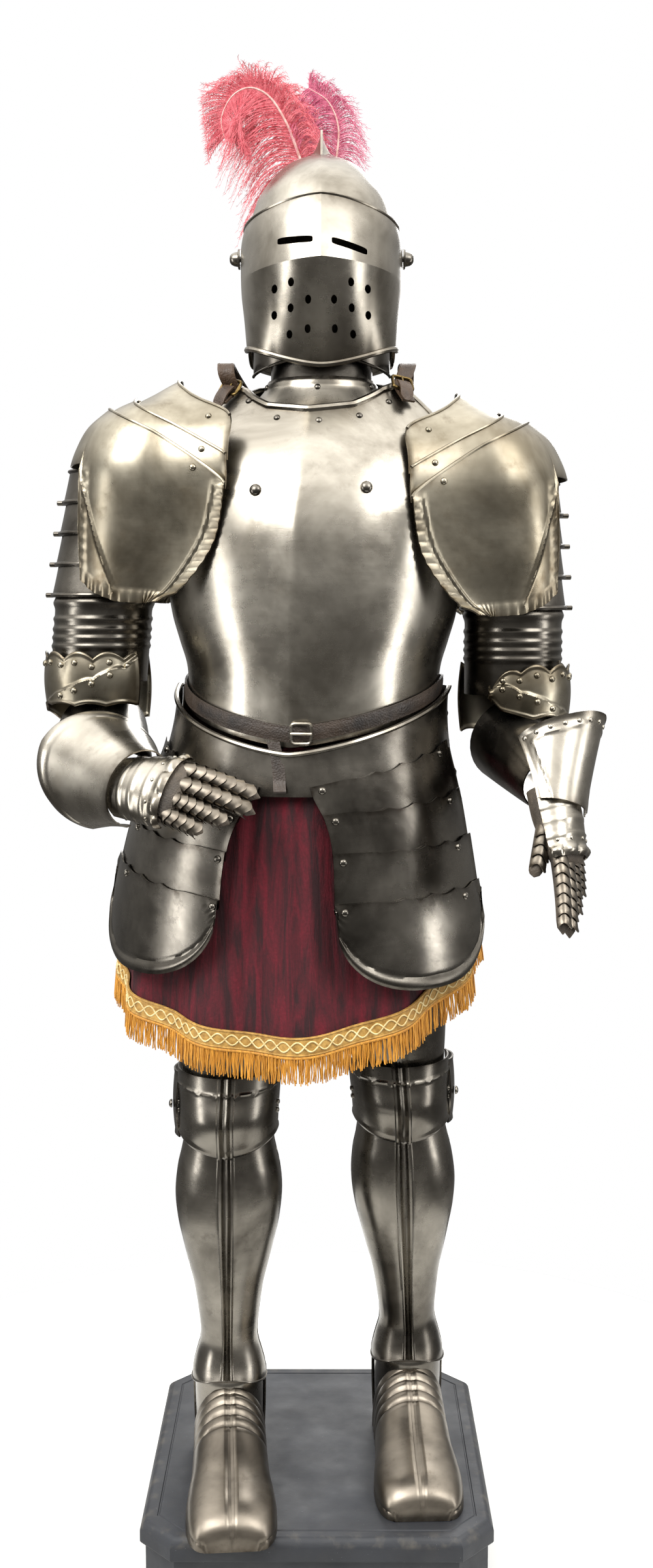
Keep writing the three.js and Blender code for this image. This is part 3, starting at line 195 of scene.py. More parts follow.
# Where each leg's middle line passes, and where its toe is.
LEGS = {
    "r": {"out": -1, "ankle": [-0.126, 0], "knee": [-0.124, -0.004], "hip": [-0.110, 0.005],
          "toe": [-0.107, -0.256]},
    "l": {"out": 1, "ankle": [0.130, 0.062], "knee": [0.118, 0.058], "hip": [0.090, 0.018],
          "toe": [0.139, -0.188]},
}
# upper: the upper arm's middle at its roll and top. elbow, couter: the elbow band's middle and the
# angles it covers. forearm: from elbow to wrist. rim, radius, point: the cuff's rim, its size and the
# way its point faces. span: the cuff's angles at wrist and rim. along, back: the way the hand runs and
# the way its back faces. bend: how far the fingers bend.
ARMS = {
    "r": {
        "out": -1, "lift": 0, "spread": 0,
        "upper": [[-0.287, 0.008], [-0.273, 0.008]],
        "elbow": [-0.291, 0.006],
        "couter": [-230, 47],
        "forearm": [[-0.292, 0.002, 1.020], [-0.244, -0.146, 0.974]],
        "rim": [-0.279, -0.108, 0.982], "radius": 0.076, "point": [-0.9, -0.3, 0.5],
        "span": [[-138, 110], [-148, 110]],
        "wrist": [-0.220, -0.196, 0.968], "along": [0.78, -0.62, 0], "back": [-0.5, -0.62, 0.6],
        "bend": 36,
    },
    "l": {
        "out": 1, "lift": -0.017, "spread": 0.005,
        "upper": [[0.264, 0.004], [0.264, 0.004]],
        "elbow": [0.264, 0.002],
        "couter": [-30, 245],
        "forearm": [[0.267, 0.004, 1.012], [0.299, -0.132, 0.966]],
        "rim": [0.309, -0.118, 1.028], "radius": 0.056, "point": [0.85, -0.3, 0.1],
        "span": [[-102, 38], [-136, 80]],
        "wrist": [0.299, -0.160, 0.937], "along": [0.22, -0.34, -0.91], "back": [0.85, -0.45, 0],
        "bend": 11,
    },
}
FINGERS = table(["across", "start", "length", "spread"], [
    [0.0310, 0.062, 0.098, 2],
    [0.0105, 0.066, 0.098, 1],
    [-0.0105, 0.064, 0.076, -1],
    [-0.0310, 0.060, 0.054, -3],
])
# The palm by distance from the wrist.
PALM = table(["s", "width", "thick"], [
    [-0.028, 0.034, 0.027],
    [0.008, 0.038, 0.028],
    [0.040, 0.042, 0.023],
    [0.062, 0.044, 0.018],
    [0.078, 0.042, 0.014],
])

# ---------------------------------------------------------------- numbers

TAU = 2 * math.pi


def sin(degrees):
    return np.sin(np.radians(degrees))


def cos(degrees):
    return np.cos(np.radians(degrees))


def lerp(a, b, t):
    return a + (b - a) * t


def at(x, y, z):
    return np.stack(np.broadcast_arrays(x, y, z), axis=-1).astype(float)


def read(rows, name, value, key="z"):
    """One column of a table at values between its rows, on a smooth curve through them."""
    x = np.array([row[key] for row in rows], float)
    y = np.array([row[name] for row in rows], float)
    last = len(x) - 1
    value = np.clip(value, x[0], x[-1])
    i = np.searchsorted(x[1:-1], value, side="left")
    before, after, beyond = np.maximum(i - 1, 0), i + 1, np.minimum(i + 2, last)
    span = x[after] - x[i]
    t = (value - x[i]) / span
    start = (y[after] - y[before]) / (x[after] - x[before]) * span
    end = (y[beyond] - y[i]) / (x[beyond] - x[i]) * span
    p, q = y[i], y[after]
    return p + t * (start + t * (3 * (q - p) - 2 * start - end + t * (2 * (p - q) + start + end)))


def read_path(rows, t):
    return at(read(rows, "x", t, "t"), read(rows, "y", t, "t"), read(rows, "z", t, "t"))


def read_straight(rows, name, value, key):
    return np.interp(value, [row[key] for row in rows], [row[name] for row in rows])


def signed(angle):
    """An angle of -180 to 180."""
    return (np.asarray(angle, float) + 180) % 360 - 180


def oval(middle, half, depth, angle, z, turn=0):
    x, y = half * sin(angle), -depth * cos(angle)
    return at(
        middle[0] + x * cos(turn) - y * sin(turn),
        middle[1] + x * sin(turn) + y * cos(turn),
        z,
    )


def depth_at(rows, angle, z):
    return np.where(cos(angle) >= 0, read(rows, "front", z), read(rows, "back", z))


def unit(v):
    v = np.asarray(v, float)
    return v / np.maximum(np.linalg.norm(v, axis=-1, keepdims=True), 1e-9)


class Axis:
    """A line with a front and a side across it."""

    def __init__(self, start, end, towards):
        self.start = np.array(start, float)
        self.length = float(np.linalg.norm(np.array(end) - self.start))
        self.along = unit(np.array(end) - self.start)
        towards = np.array(towards, float)
        self.front = unit(towards - self.along * (towards @ self.along))
        self.side = np.cross(self.along, self.front)

    def at(self, distance, front, side):
        parts = zip((distance, front, side), (self.along, self.front, self.side))
        return self.start + sum(np.asarray(amount, float)[..., None] * way for amount, way in parts)


# ---------------------------------------------------------------- mesh making

FEW_LINES = 24  # a grid with no more lines than this keeps them all


def every_other(lines, ring=False):
    """Numbers of the grid lines that go into a mesh: every second one, and both borders."""
    if lines <= FEW_LINES:
        return np.arange(lines)
    kept = np.arange(0, lines, 2)
    return kept if ring or kept[-1] == lines - 1 else np.append(kept, lines - 1)


class Piece:
    """Gathers one object's geometry: walls, tubes and studs, each with its own material."""

    def __init__(self, name, material, body="suit"):
        self.name, self.body = name, body
        self.points, self.faces, self.kinds, self.edges = [], [], [], []
        self.count = 0
        self.materials = [material]
        self.tree = None

    def add(self, points, faces, material=None, edge=None):
        points = np.asarray(points, float).reshape(-1, 3)
        material = material or self.materials[0]
        if material not in self.materials:
            self.materials.append(material)
        self.points.append(points)
        self.faces.extend([[i + self.count for i in face] for face in faces])
        self.kinds.extend([self.materials.index(material)] * len(faces))
        self.edges.append(np.zeros(len(points)) if edge is None else np.asarray(edge).ravel())
        self.count += len(points)
        self.tree = None

    def wall(self, point, columns, rows, ring=False, thick=STEEL, shift=0, relief=None,
             material=None):
        """A wall over point(u, v). relief(borders) is how far the face stands out."""
        us = np.linspace(0, 1, columns + 1)[: columns if ring else None]
        vs = np.linspace(0, 1, rows + 1)
        u, v = np.meshgrid(us, vs)
        grid = point(u, v)
        borders = measure(grid, u, v, ring)
        grid = grid - normals(grid, ring) * shift
        if relief is not None:
            grid = grid + normals(grid, ring) * relief(borders)[..., None]
        kept = np.ix_(every_other(grid.shape[0]), every_other(grid.shape[1], ring))
        outer = grid[kept]
        inner = (grid - normals(grid, ring) * thick)[kept]
        up, across = outer.shape[:2]
        number = np.arange(up * across).reshape(up, across)
        nearby = np.roll(number, -1, 1) if ring else number[:, 1:]
        here = number if ring else number[:, :-1]
        quads = np.stack([here[:-1], nearby[:-1], nearby[1:], here[1:]], -1).reshape(-1, 4)
        size = up * across
        faces = [quads, quads[:, ::-1] + size]
        for row, turn in ((0, 1), (-1, -1)):
            a, b = here[row], nearby[row]
            rim = np.stack([a, a + size, b + size, b], -1)
            faces.append(rim[:, ::turn])
        if not ring:
            for column, turn in ((0, 1), (-1, -1)):
                a, b = number[:-1, column], number[1:, column]
                rim = np.stack([a, b, b + size, a + size], -1)
                faces.append(rim[:, ::turn])
        edge = np.exp(-borders["any"][kept] / 0.006)
        self.add(
            np.concatenate([outer.reshape(-1, 3), inner.reshape(-1, 3)]),
            np.concatenate(faces).tolist(),
            material,
            np.concatenate([edge.ravel(), edge.ravel()]),
        )
        return grid

    def tube(self, path, radius, sides=8, closed=False, material=None, edge=0.5):
        """A round bead along points; radius is a number or one for each point."""
        path = np.asarray(path, float)
        if closed:
            along = np.roll(path, -1, 0) - np.roll(path, 1, 0)
        else:
            along = np.gradient(path, axis=0)
        along = unit(along)
        across = np.cross(along, [0, 0, 1.0])
        upright = np.linalg.norm(across, axis=1) < 0.2
        across[upright] = np.cross(along[upright], [0, 1.0, 0])
        across = unit(across)
        for i in range(1, len(path)):
            if across[i] @ across[i - 1] < 0:
                across[i] *= -1
        above = np.cross(across, along)
        turn = np.arange(sides) * TAU / sides
        size = np.broadcast_to(np.asarray(radius, float), len(path))[:, None, None]
        rings = path[:, None] + size * (
            np.cos(turn)[None, :, None] * across[:, None] + np.sin(turn)[None, :, None] * above[:, None]
        )
        count = len(path)
        faces = []
        for j in range(count if closed else count - 1):
            k = (j + 1) % count
            for i in range(sides):
                n = (i + 1) % sides
                faces.append([j * sides + i, k * sides + i, k * sides + n, j * sides + n])
        if not closed:
            faces.append(list(range(sides)))
            faces.append([(count - 1) * sides + i for i in reversed(range(sides))])
        self.add(rings, faces, material, np.full(count * sides, edge))

    def dome(self, place, normal, radius, height=None, material=None, sides=12):
        """A round rivet head standing on a face."""
        height = radius * 0.6 if height is None else height
        normal = unit(normal)
        across = unit(np.cross(normal, [0.31, 0.2, 0.93]))
        above = np.cross(normal, across)
        profile = [(1, -0.12), (1, 0.12), (0.9, 0.5), (0.66, 0.8), (0.34, 0.96)]
        turn = np.arange(sides) * TAU / sides
        rings = [
            place + normal * height * up
            + radius * wide * (np.cos(turn)[:, None] * across + np.sin(turn)[:, None] * above)
            for wide, up in profile
        ]
        points = np.concatenate(rings + [[place + normal * height]])
        faces = loft(len(profile), sides)
        top = (len(profile) - 1) * sides
        faces.extend([[top + i, top + (i + 1) % sides, len(points) - 1] for i in range(sides)])
        faces.append(list(reversed(range(sides))))
        self.add(points, faces, material)

    def hit(self, start, way):
        if self.tree is None:
            points = np.concatenate(self.points).tolist()
            self.tree = BVHTree.FromPolygons(points, self.faces)
        place, normal, _, _ = self.tree.ray_cast(Vector(start), Vector(way))
        return place, normal

    def studs(self, places, radius, way=(0, 1, 0), material=None, height=None):
        """Rivets where lines along `way` meet the piece: places are (x, z), or (y, z) from a side."""
        found = []
        for a, z in places:
            start = (a, -1, z + SOLE) if way[1] else (-way[0], a, z + SOLE)
            place, normal = self.hit(start, way)
            if place is not None:
                found.append((np.array(place), np.array(normal)))
        for place, normal in found:
            self.dome(place, normal, radius, height, material)

    def build(self, *nodes, slot=None, sharp=38):
        mesh = bpy.data.meshes.new(self.name)
        mesh.from_pydata(np.concatenate(self.points).tolist(), [], self.faces)
        mesh.polygons.foreach_set("material_index", self.kinds)
        for material in self.materials:
            mesh.materials.append(material)
        edge = mesh.attributes.new("edge", "FLOAT", "POINT")
        edge.data.foreach_set("value", np.concatenate(self.edges).astype(np.float32))
        mesh.shade_smooth()
        mesh.set_sharp_from_angle(angle=math.radians(sharp))
        mesh.update()
        made = bpy.data.objects.new(self.name, mesh)
        bpy.context.scene.collection.objects.link(made)
        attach(made, self.body)
        if nodes:
            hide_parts(*nodes)
        slot or self.materials[0].name.split(".")[0]
        return made


def normals(grid, ring):
    if ring:
        along = np.roll(grid, -1, 1) - np.roll(grid, 1, 1)
    else:
        along = np.gradient(grid, axis=1)
    return unit(np.cross(along, np.gradient(grid, axis=0)))


def measure(grid, u, v, ring):
    """How far each point of a grid is from each of its borders, along the surface."""
    across = np.linalg.norm(np.diff(grid, axis=1), axis=-1)
    across = np.concatenate([np.zeros((len(grid), 1)), np.cumsum(across, axis=1)], axis=1)
    up = np.linalg.norm(np.diff(grid, axis=0), axis=-1)
    up = np.concatenate([np.zeros((1, grid.shape[1])), np.cumsum(up, axis=0)], axis=0)
    found = {
        "u": u,
        "v": v,
        "left": across,
        "right": across[:, -1:] - across,
        "foot": up,
        "top": up[-1:] - up,
    }
    found["side"] = np.full(u.shape, 1.0) if ring else np.minimum(found["left"], found["right"])
    found["any"] = np.minimum(found["side"], np.minimum(found["foot"], found["top"]))
    return found


def line(point, us, vs):
    """Points of a surface along a run of u and v."""
    return point(np.asarray(us, float), np.asarray(vs, float))


def along_edge(point, v, low=0, high=1, count=60):
    return line(point, np.linspace(low, high, count), np.full(count, v))


def up_edge(point, u, low=0, high=1, count=40):
    return line(point, np.full(count, u), np.linspace(low, high, count))


def loft(rows, sides):
    """The faces between rings of points, one ring after another."""
    return [
        [j * sides + i, j * sides + (i + 1) % sides, (j + 1) * sides + (i + 1) % sides, (j + 1) * sides + i]
        for j in range(rows - 1)
        for i in range(sides)
    ]


def closed_loft(rows, sides):
    """The same with a face over each end."""
    last = (rows - 1) * sides
    return loft(rows, sides) + [list(reversed(range(sides))), [last + i for i in range(sides)]]


def ridge(distance, half, height):
    """A smooth rounded rise of a given half width."""
    return height * np.clip(1 - (distance / half) ** 2, 0, 1) ** 1.5


def ridges(across, places, half, height):
    """The same ridge at each of several places."""
    return sum(ridge(np.abs(across - place), half, height) for place in places)


# ---------------------------------------------------------------- materials

def colour(code):
    parts = [int(code[i: i + 2], 16) / 255 for i in (1, 3, 5)]
    return [p / 12.92 if p < 0.04045 else ((p + 0.055) / 1.055) ** 2.4 for p in parts] + [1]


class Finish:
    """A procedural material in the making."""

    def __init__(self, name, **settings):
        self.material = bpy.data.materials.new(name)
        self.material.use_nodes = True
        self.tree = self.material.node_tree
        self.shader = self.tree.nodes["Principled BSDF"]
        for key, value in settings.items():
            self.shader.inputs[key.replace("_", " ")].default_value = value
        self.place = self.node("ShaderNodeTexCoord").outputs["Object"]

    def node(self, kind, **settings):
        made = self.tree.nodes.new(kind)
        for key, value in settings.items():
            setattr(made, key, value)
        return made

    def put(self, socket, value):
        if isinstance(value, bpy.types.NodeSocket):
            self.tree.links.new(value, socket)
        else:
            socket.default_value = value

    def noise(self, scale, detail=4, rough=0.55, stretch=(1, 1, 1), bend=0.0):
        mapping = self.node("ShaderNodeMapping")
        self.put(mapping.inputs["Vector"], self.place)
        mapping.inputs["Scale"].default_value = stretch
        made = self.node("ShaderNodeTexNoise")
        self.put(made.inputs["Vector"], mapping.outputs["Vector"])
        for name, value in (("Scale", scale), ("Detail", detail), ("Roughness", rough),
                            ("Distortion", bend)):
            made.inputs[name].default_value = value
        return made.outputs["Fac"]

    def cells(self, scale, feature="F1", output="Distance"):
        made = self.node("ShaderNodeTexVoronoi", feature=feature)
        self.put(made.inputs["Vector"], self.place)
        made.inputs["Scale"].default_value = scale
        return made.outputs[output]

    def spread(self, value, low, high, start=0.3, end=0.7):
        made = self.node("ShaderNodeMapRange")
        self.put(made.inputs["Value"], value)
        for name, number in (("From Min", start), ("From Max", end), ("To Min", low), ("To Max", high)):
            made.inputs[name].default_value = number
        return made.outputs["Result"]

    def mix(self, share, a, b, how="MIX"):
        made = self.node("ShaderNodeMix", data_type="RGBA", blend_type=how)
        for socket, value in zip((made.inputs[0], made.inputs[6], made.inputs[7]), (share, a, b)):
            self.put(socket, value)
        return made.outputs[2]

    def sum(self, a, b, how="ADD"):
        made = self.node("ShaderNodeMath", operation=how)
        self.put(made.inputs[0], a)
        self.put(made.inputs[1], b)
        return made.outputs[0]

    def edge(self):
        return self.node("ShaderNodeAttribute", attribute_name="edge").outputs["Fac"]

    def bump(self, *layers):
        """Each layer is (height, depth in metres)."""
        normal = None
        for height, depth in layers:
            made = self.node("ShaderNodeBump")
            made.inputs["Strength"].default_value = 1
            made.inputs["Distance"].default_value = depth
            self.put(made.inputs["Height"], height)
            if normal is not None:
                self.put(made.inputs["Normal"], normal)
            normal = made.outputs["Normal"]
        self.put(self.shader.inputs["Normal"], normal)

    def done(self, base, rough=None):
        self.put(self.shader.inputs["Base Color"], base)
        if rough is not None:
            self.put(self.shader.inputs["Roughness"], rough)
        return self.material


def steel(name, light, dark, stain, rough, stained=0.5):
    """Worn plate: cloudy tint, brown stains towards the edges, fine scratches and shallow dents."""
    make = Finish(name, Metallic=1.0)
    clouds = make.noise(6, 5, 0.6, bend=0.4)
    tint = make.mix(make.spread(clouds, 0, 1, 0.36, 0.64), colour(dark), colour(light))
    spots = make.spread(make.noise(30, 6, 0.7), 0, stained, 0.56, 0.76)
    rims = make.sum(make.edge(), make.spread(make.noise(60, 4), 0.1, 0.9), "MULTIPLY")
    tint = make.mix(spots, tint, colour(stain))
    tint = make.mix(rims, tint, colour(stain))
    scratches = make.noise(16, 8, 0.75, stretch=(1, 1, 9))
    uneven = make.spread(make.noise(20, 5, 0.6), rough - 0.04, rough + 0.08)
    uneven = make.sum(uneven, make.spread(scratches, -0.012, 0.022))
    uneven = make.sum(uneven, make.sum(spots, 0.16, "MULTIPLY"))
    make.bump((make.noise(9, 2, 0.4), 0.0013), (scratches, 0.00005))
    return make.done(tint, uneven)


def leather(name, light, dark, rough=0.62):
    make = Finish(name)
    tint = make.mix(make.spread(make.noise(24, 5, 0.6), 0, 1, 0.35, 0.65), colour(dark), colour(light))
    tint = make.mix(make.spread(make.edge(), 0, 0.55, 0.2, 1), tint, colour(light))
    make.bump((make.cells(420), 0.0005), (make.noise(70, 5), 0.0008))
    return make.done(tint, make.spread(make.noise(90, 4), rough - 0.12, rough + 0.1))


def fibre(name, light, dark, rough=0.8, sheen=0.4, stretch=(1, 1, 1)):
    make = Finish(name, Sheen_Weight=sheen, Sheen_Roughness=0.4)
    make.shader.inputs["Sheen Tint"].default_value = colour(light)
    fine = make.noise(130, 5, 0.65, stretch=stretch)
    broad = make.noise(14, 4, 0.5)
    tint = make.mix(make.spread(fine, 0, 1, 0.35, 0.65), colour(dark), colour(light))
    tint = make.mix(make.spread(broad, 0, 0.45), tint, colour(dark))
    make.bump((fine, 0.0006))
    return make.done(tint, make.spread(fine, rough - 0.1, rough + 0.1))


def velvet_cloth():
    make = Finish("velvet", Sheen_Weight=0.12, Sheen_Roughness=0.35)
    make.shader.inputs["Sheen Tint"].default_value = colour("#a02840")
    pile = make.noise(260, 4, 0.6)
    strokes = make.noise(13, 6, 0.68, stretch=(4.5, 4.5, 0.5), bend=0.5)
    tint = make.mix(make.spread(strokes, 0, 1, 0.40, 0.64), colour("#2a040b"), colour("#6a1222"))
    tint = make.mix(make.spread(pile, 0, 0.4), tint, colour("#1c0307"))
    make.bump((strokes, 0.003), (pile, 0.0006))
    return make.done(tint, make.spread(strokes, 0.8, 0.95))


def painted_wood():
    make = Finish("painted_wood", Coat_Weight=0.10, Coat_Roughness=0.4)
    cloud = make.noise(9, 5, 0.6)
    tint = make.mix(make.spread(cloud, 0, 1), colour("#0f1116"), colour("#1b1e24"))
    specks = make.spread(make.cells(230), 1, 0, 0.02, 0.09)
    few = make.sum(specks, make.spread(make.noise(40, 3), 0, 1, 0.58, 0.62), "MULTIPLY")
    tint = make.mix(few, tint, colour("#8b8f94"))
    scuffs = make.sum(make.edge(), make.spread(make.noise(50, 5), 0, 1.2, 0.5, 0.75), "MULTIPLY")
    tint = make.mix(scuffs, tint, colour("#3a3732"))
    make.bump((make.noise(7, 6, 0.6, stretch=(1, 9, 9)), 0.0008), (make.noise(150, 4), 0.0002))
    return make.done(tint, make.spread(make.noise(16, 5), 0.5, 0.75))


BRIGHT = steel("bright_steel", "#bab4a8", "#7d776c", "#43372a", 0.25, 0.35)
GOLDEN = steel("golden_steel", "#aca594", "#736b5b", "#4c3d28", 0.29, 0.5)
DARK = steel("dark_steel", "#878279", "#4b4741", "#2a231c", 0.24, 0.45)
BROWN = steel("brown_steel", "#8a8276", "#58524a", "#332b22", 0.32, 0.5)
BRASS = steel("brass", "#8f7a4c", "#5a4a2c", "#2c2214", 0.34, 0.5)
BELT_LEATHER = leather("belt_leather", "#3d3229", "#17120f", 0.55)
STRAP_LEATHER = leather("strap_leather", "#46321f", "#1e140d")
GLOVE_LEATHER = leather("glove_leather", "#5d5347", "#2b251f", 0.7)
VELVET = velvet_cloth()
BRAID = fibre("braid", "#c9a055", "#8a6428", 0.62, 0.3)
BRAID_PALE = fibre("braid_pale", "#efe0ae", "#c0a468", 0.6, 0.3)
FRINGE = fibre("fringe", "#e0a23c", "#a56c1f", 0.6, 0.3, stretch=(2, 2, 0.4))
FEATHER = fibre("feather", "#e5838a", "#b93c49", 0.7, 0.5)
FEATHER_DEEP = fibre("feather_deep", "#e0839a", "#a5345a", 0.7, 0.5)
QUILL = fibre("quill", "#f3d9cf", "#c98f88", 0.6, 0.2)
WOOD = painted_wood()


# ---------------------------------------------------------------- trunk

def outward(path):
    """Level ways out from the trunk at points round it."""
    return unit(path * np.array([1, 1, 0]) + np.array([0.02, 0, 0]))


def lifted(points):
    return points + np.array([0, 0, SOLE])


def trunk(angle, z):
    keel = 0.007 * np.maximum(0, 1 - np.abs(signed(angle)) / 18) ** 1.8
    depth = depth_at(TRUNK, angle, z) + keel
    middle = [read(TRUNK, "x", z), 0]
    return lifted(oval(middle, read(TRUNK, "half", z), depth, angle, z, BODY_TURN))


def hip(angle, z):
    middle = [read(HIPS, "x", z), 0]
    return lifted(oval(middle, read(HIPS, "half", z), depth_at(HIPS, angle, z), angle, z, BODY_TURN))


def waist_rise(angle):
    return (1 - np.maximum(0, cos(angle))) ** 0.68


def waist_edge(angle):
    return 1.018 + 0.057 * waist_rise(angle)


def belt_line(angle):
    return 1.035 + 0.057 * waist_rise(angle)


def fauld_top(angle):
    return 1.010 + 0.076 * waist_rise(angle)


BREAST_TOP = table(["angle", "z"], [
    [0, 1.439], [20, 1.446], [40, 1.467], [54, 1.475], [64, 1.464], [72, 1.370], [80, 1.290],
    [89.5, 1.258],
])
BACK_TOP = table(["angle", "z"], [
    [0, 1.492], [30, 1.491], [54, 1.484], [64, 1.474], [72, 1.370], [80, 1.290], [89.5, 1.258],
])
SIDE_SEAM = 89.7
NECK_END = 62


def breast(u, v):
    angle = lerp(-SIDE_SEAM, SIDE_SEAM, u)
    top = read_straight(BREAST_TOP, "z", np.abs(angle), "angle")
    return trunk(angle, lerp(waist_edge(angle), top, v))


def back(u, v):
    angle = lerp(180 - SIDE_SEAM, 180 + SIDE_SEAM, u)
    top = read_straight(BACK_TOP, "z", np.abs(angle - 180), "angle")
    return trunk(angle, lerp(waist_edge(angle), top, v))


def share_of(angle):
    return (angle + SIDE_SEAM) / (2 * SIDE_SEAM)


def add_cuirass():
    piece = Piece("breastplate_piece", BRIGHT)
    piece.wall(breast, 160, 90)
    low, high = share_of(-NECK_END), share_of(NECK_END)
    piece.tube(along_edge(breast, 1, low, high, 90), 0.0050)
    for start, end in ((0, low), (high, 1)):
        piece.tube(along_edge(breast, 1, start, end, 30), 0.0030)
    piece.studs([(-0.075, 1.335), (0.062, 1.338)], 0.0078, height=0.0066, material=DARK)
    neck = [(-0.0875, 1.4587), (-0.050, 1.433), (0.003, 1.428), (0.054, 1.435), (0.092, 1.4555)]
    piece.studs([(x, z - 0.004) for x, z in neck], 0.0044, material=DARK)
    piece.build("breastplate")

    piece = Piece("backplate_piece", DARK)
    piece.wall(back, 120, 80, relief=lambda b: -ridge(np.abs(b["u"] - 0.5), 0.03, 0.004))
    piece.tube(along_edge(back, 1), 0.0036)
    piece.studs([(-0.10, 1.44), (0.0, 1.46), (0.10, 1.44)], 0.0036, way=(0, -1, 0))
    piece.build("backplate")


def add_belt():
    def band(u, v):
        angle = 360 * u - 180
        return trunk(angle, belt_line(angle) + BELT_HEIGHT * (v - 0.5))

    def rounded(b):
        off_middle = np.abs(b["v"] - 0.5)
        return ridge(off_middle, 0.62, 0.0012) - ridge(off_middle - 0.36, 0.04, 0.0006)

    piece = Piece("waist_belt_piece", BELT_LEATHER)
    piece.wall(band, 260, 12, ring=True, thick=0.003, shift=-0.0050, relief=rounded)
    piece.build("waist_belt")

    piece = Piece("belt_buckle_piece", BRIGHT)
    place = trunk(4, belt_line(4)) + np.array([0, -0.0085, 0])
    buckle(piece, place, 0.0125, 0.0125, turned(90, BODY_TURN), BRIGHT, 0.0024)
    piece.build("belt_buckle")

    middle = trunk(-8, belt_line(-8))

    def tail(u, v):
        """The strap's free end: it leaves the belt, hangs, and curls up a little at its tip."""
        drop = 1 - v
        z = lerp(0.962, 1.026, v) + SOLE + 0.004 * np.clip(drop - 0.8, 0, 1) * 5
        x = middle[0] + 0.0078 * (u * 2 - 1) + 0.010 * drop ** 2 + 0.004 * sin(200 * drop)
        y = middle[1] - 0.012 - 0.014 * drop - 0.010 * np.clip(drop - 0.75, 0, 1) ** 1.2 * 4
        return at(x, y, z)

    piece = Piece("belt_tail_piece", BELT_LEATHER)
    piece.wall(tail, 12, 40, thick=0.003, relief=lambda b: -ridge(np.abs(b["side"] - 0.003), 0.001, 0.0004))
    piece.build("belt_tail")


def add_gorget():
    def collar(u, v):
        return lifted(oval([HELM_X, 0], 0.067, 0.067, 360 * u, lerp(1.474, 1.512, v)))

    piece = Piece("gorget_collar_piece", DARK)
    piece.wall(collar, 96, 8, ring=True)
    piece.tube(along_edge(collar, 1, 0, 1 - 1 / 96, 96), 0.0028, closed=True)
    piece.build("gorget_collar")

    def plate(u, v):
        spread = (1 - v) ** 1.6
        half, depth = lerp(0.0705, 0.108, spread), lerp(0.0705, 0.090, spread)
        return lifted(oval([HELM_X, 0], half, depth, 360 * u, lerp(1.446, 1.486, v)))

    piece = Piece("gorget_plate_piece", BRIGHT)
    piece.wall(plate, 128, 24, ring=True, relief=lambda b: ridge(np.abs(b["v"] - 0.85), 0.12, 0.0018))
    piece.studs([(0.001, 1.4715), (-0.066, 1.477), (0.070, 1.476)], 0.0042, material=DARK)
    piece.build("gorget_plate")


# The shoulder strap: half width, thickness, how far it stands off, and how far its ends slant.
STRAP = {"half": 0.011, "thick": 0.003, "off": 0.0085, "slant": 42}


def buckle(piece, place, half, high, lean, material, wire=0.0022):
    """A rectangular frame of round wire with a prong; lean turns it from lying flat in X and Y."""
    turn = np.linspace(0, TAU, 32, endpoint=False)
    square = lambda wave: np.sign(wave) * np.abs(wave) ** 0.35
    flat = at(half * square(np.cos(turn)), high * square(np.sin(turn)), 0)
    points = (lean @ flat.T).T + place
    piece.tube(points, wire, sides=8, closed=True, material=material)
    prong = at(np.linspace(-half * 1.05, half * 1.1, 8), 0, np.linspace(0.001, 0.003, 8))
    piece.tube((lean @ prong.T).T + place, wire * 0.75, sides=6, material=material)


def turned(x_degrees, z_degrees):
    """Turned about X first, then about Z."""
    cx, sx = math.cos(math.radians(x_degrees)), math.sin(math.radians(x_degrees))
    cz, sz = math.cos(math.radians(z_degrees)), math.sin(math.radians(z_degrees))
    tilt = np.array([[1, 0, 0], [0, cx, -sx], [0, sx, cx]])
    spin = np.array([[cz, -sz, 0], [sz, cz, 0], [0, 0, 1]])
    return spin @ tilt


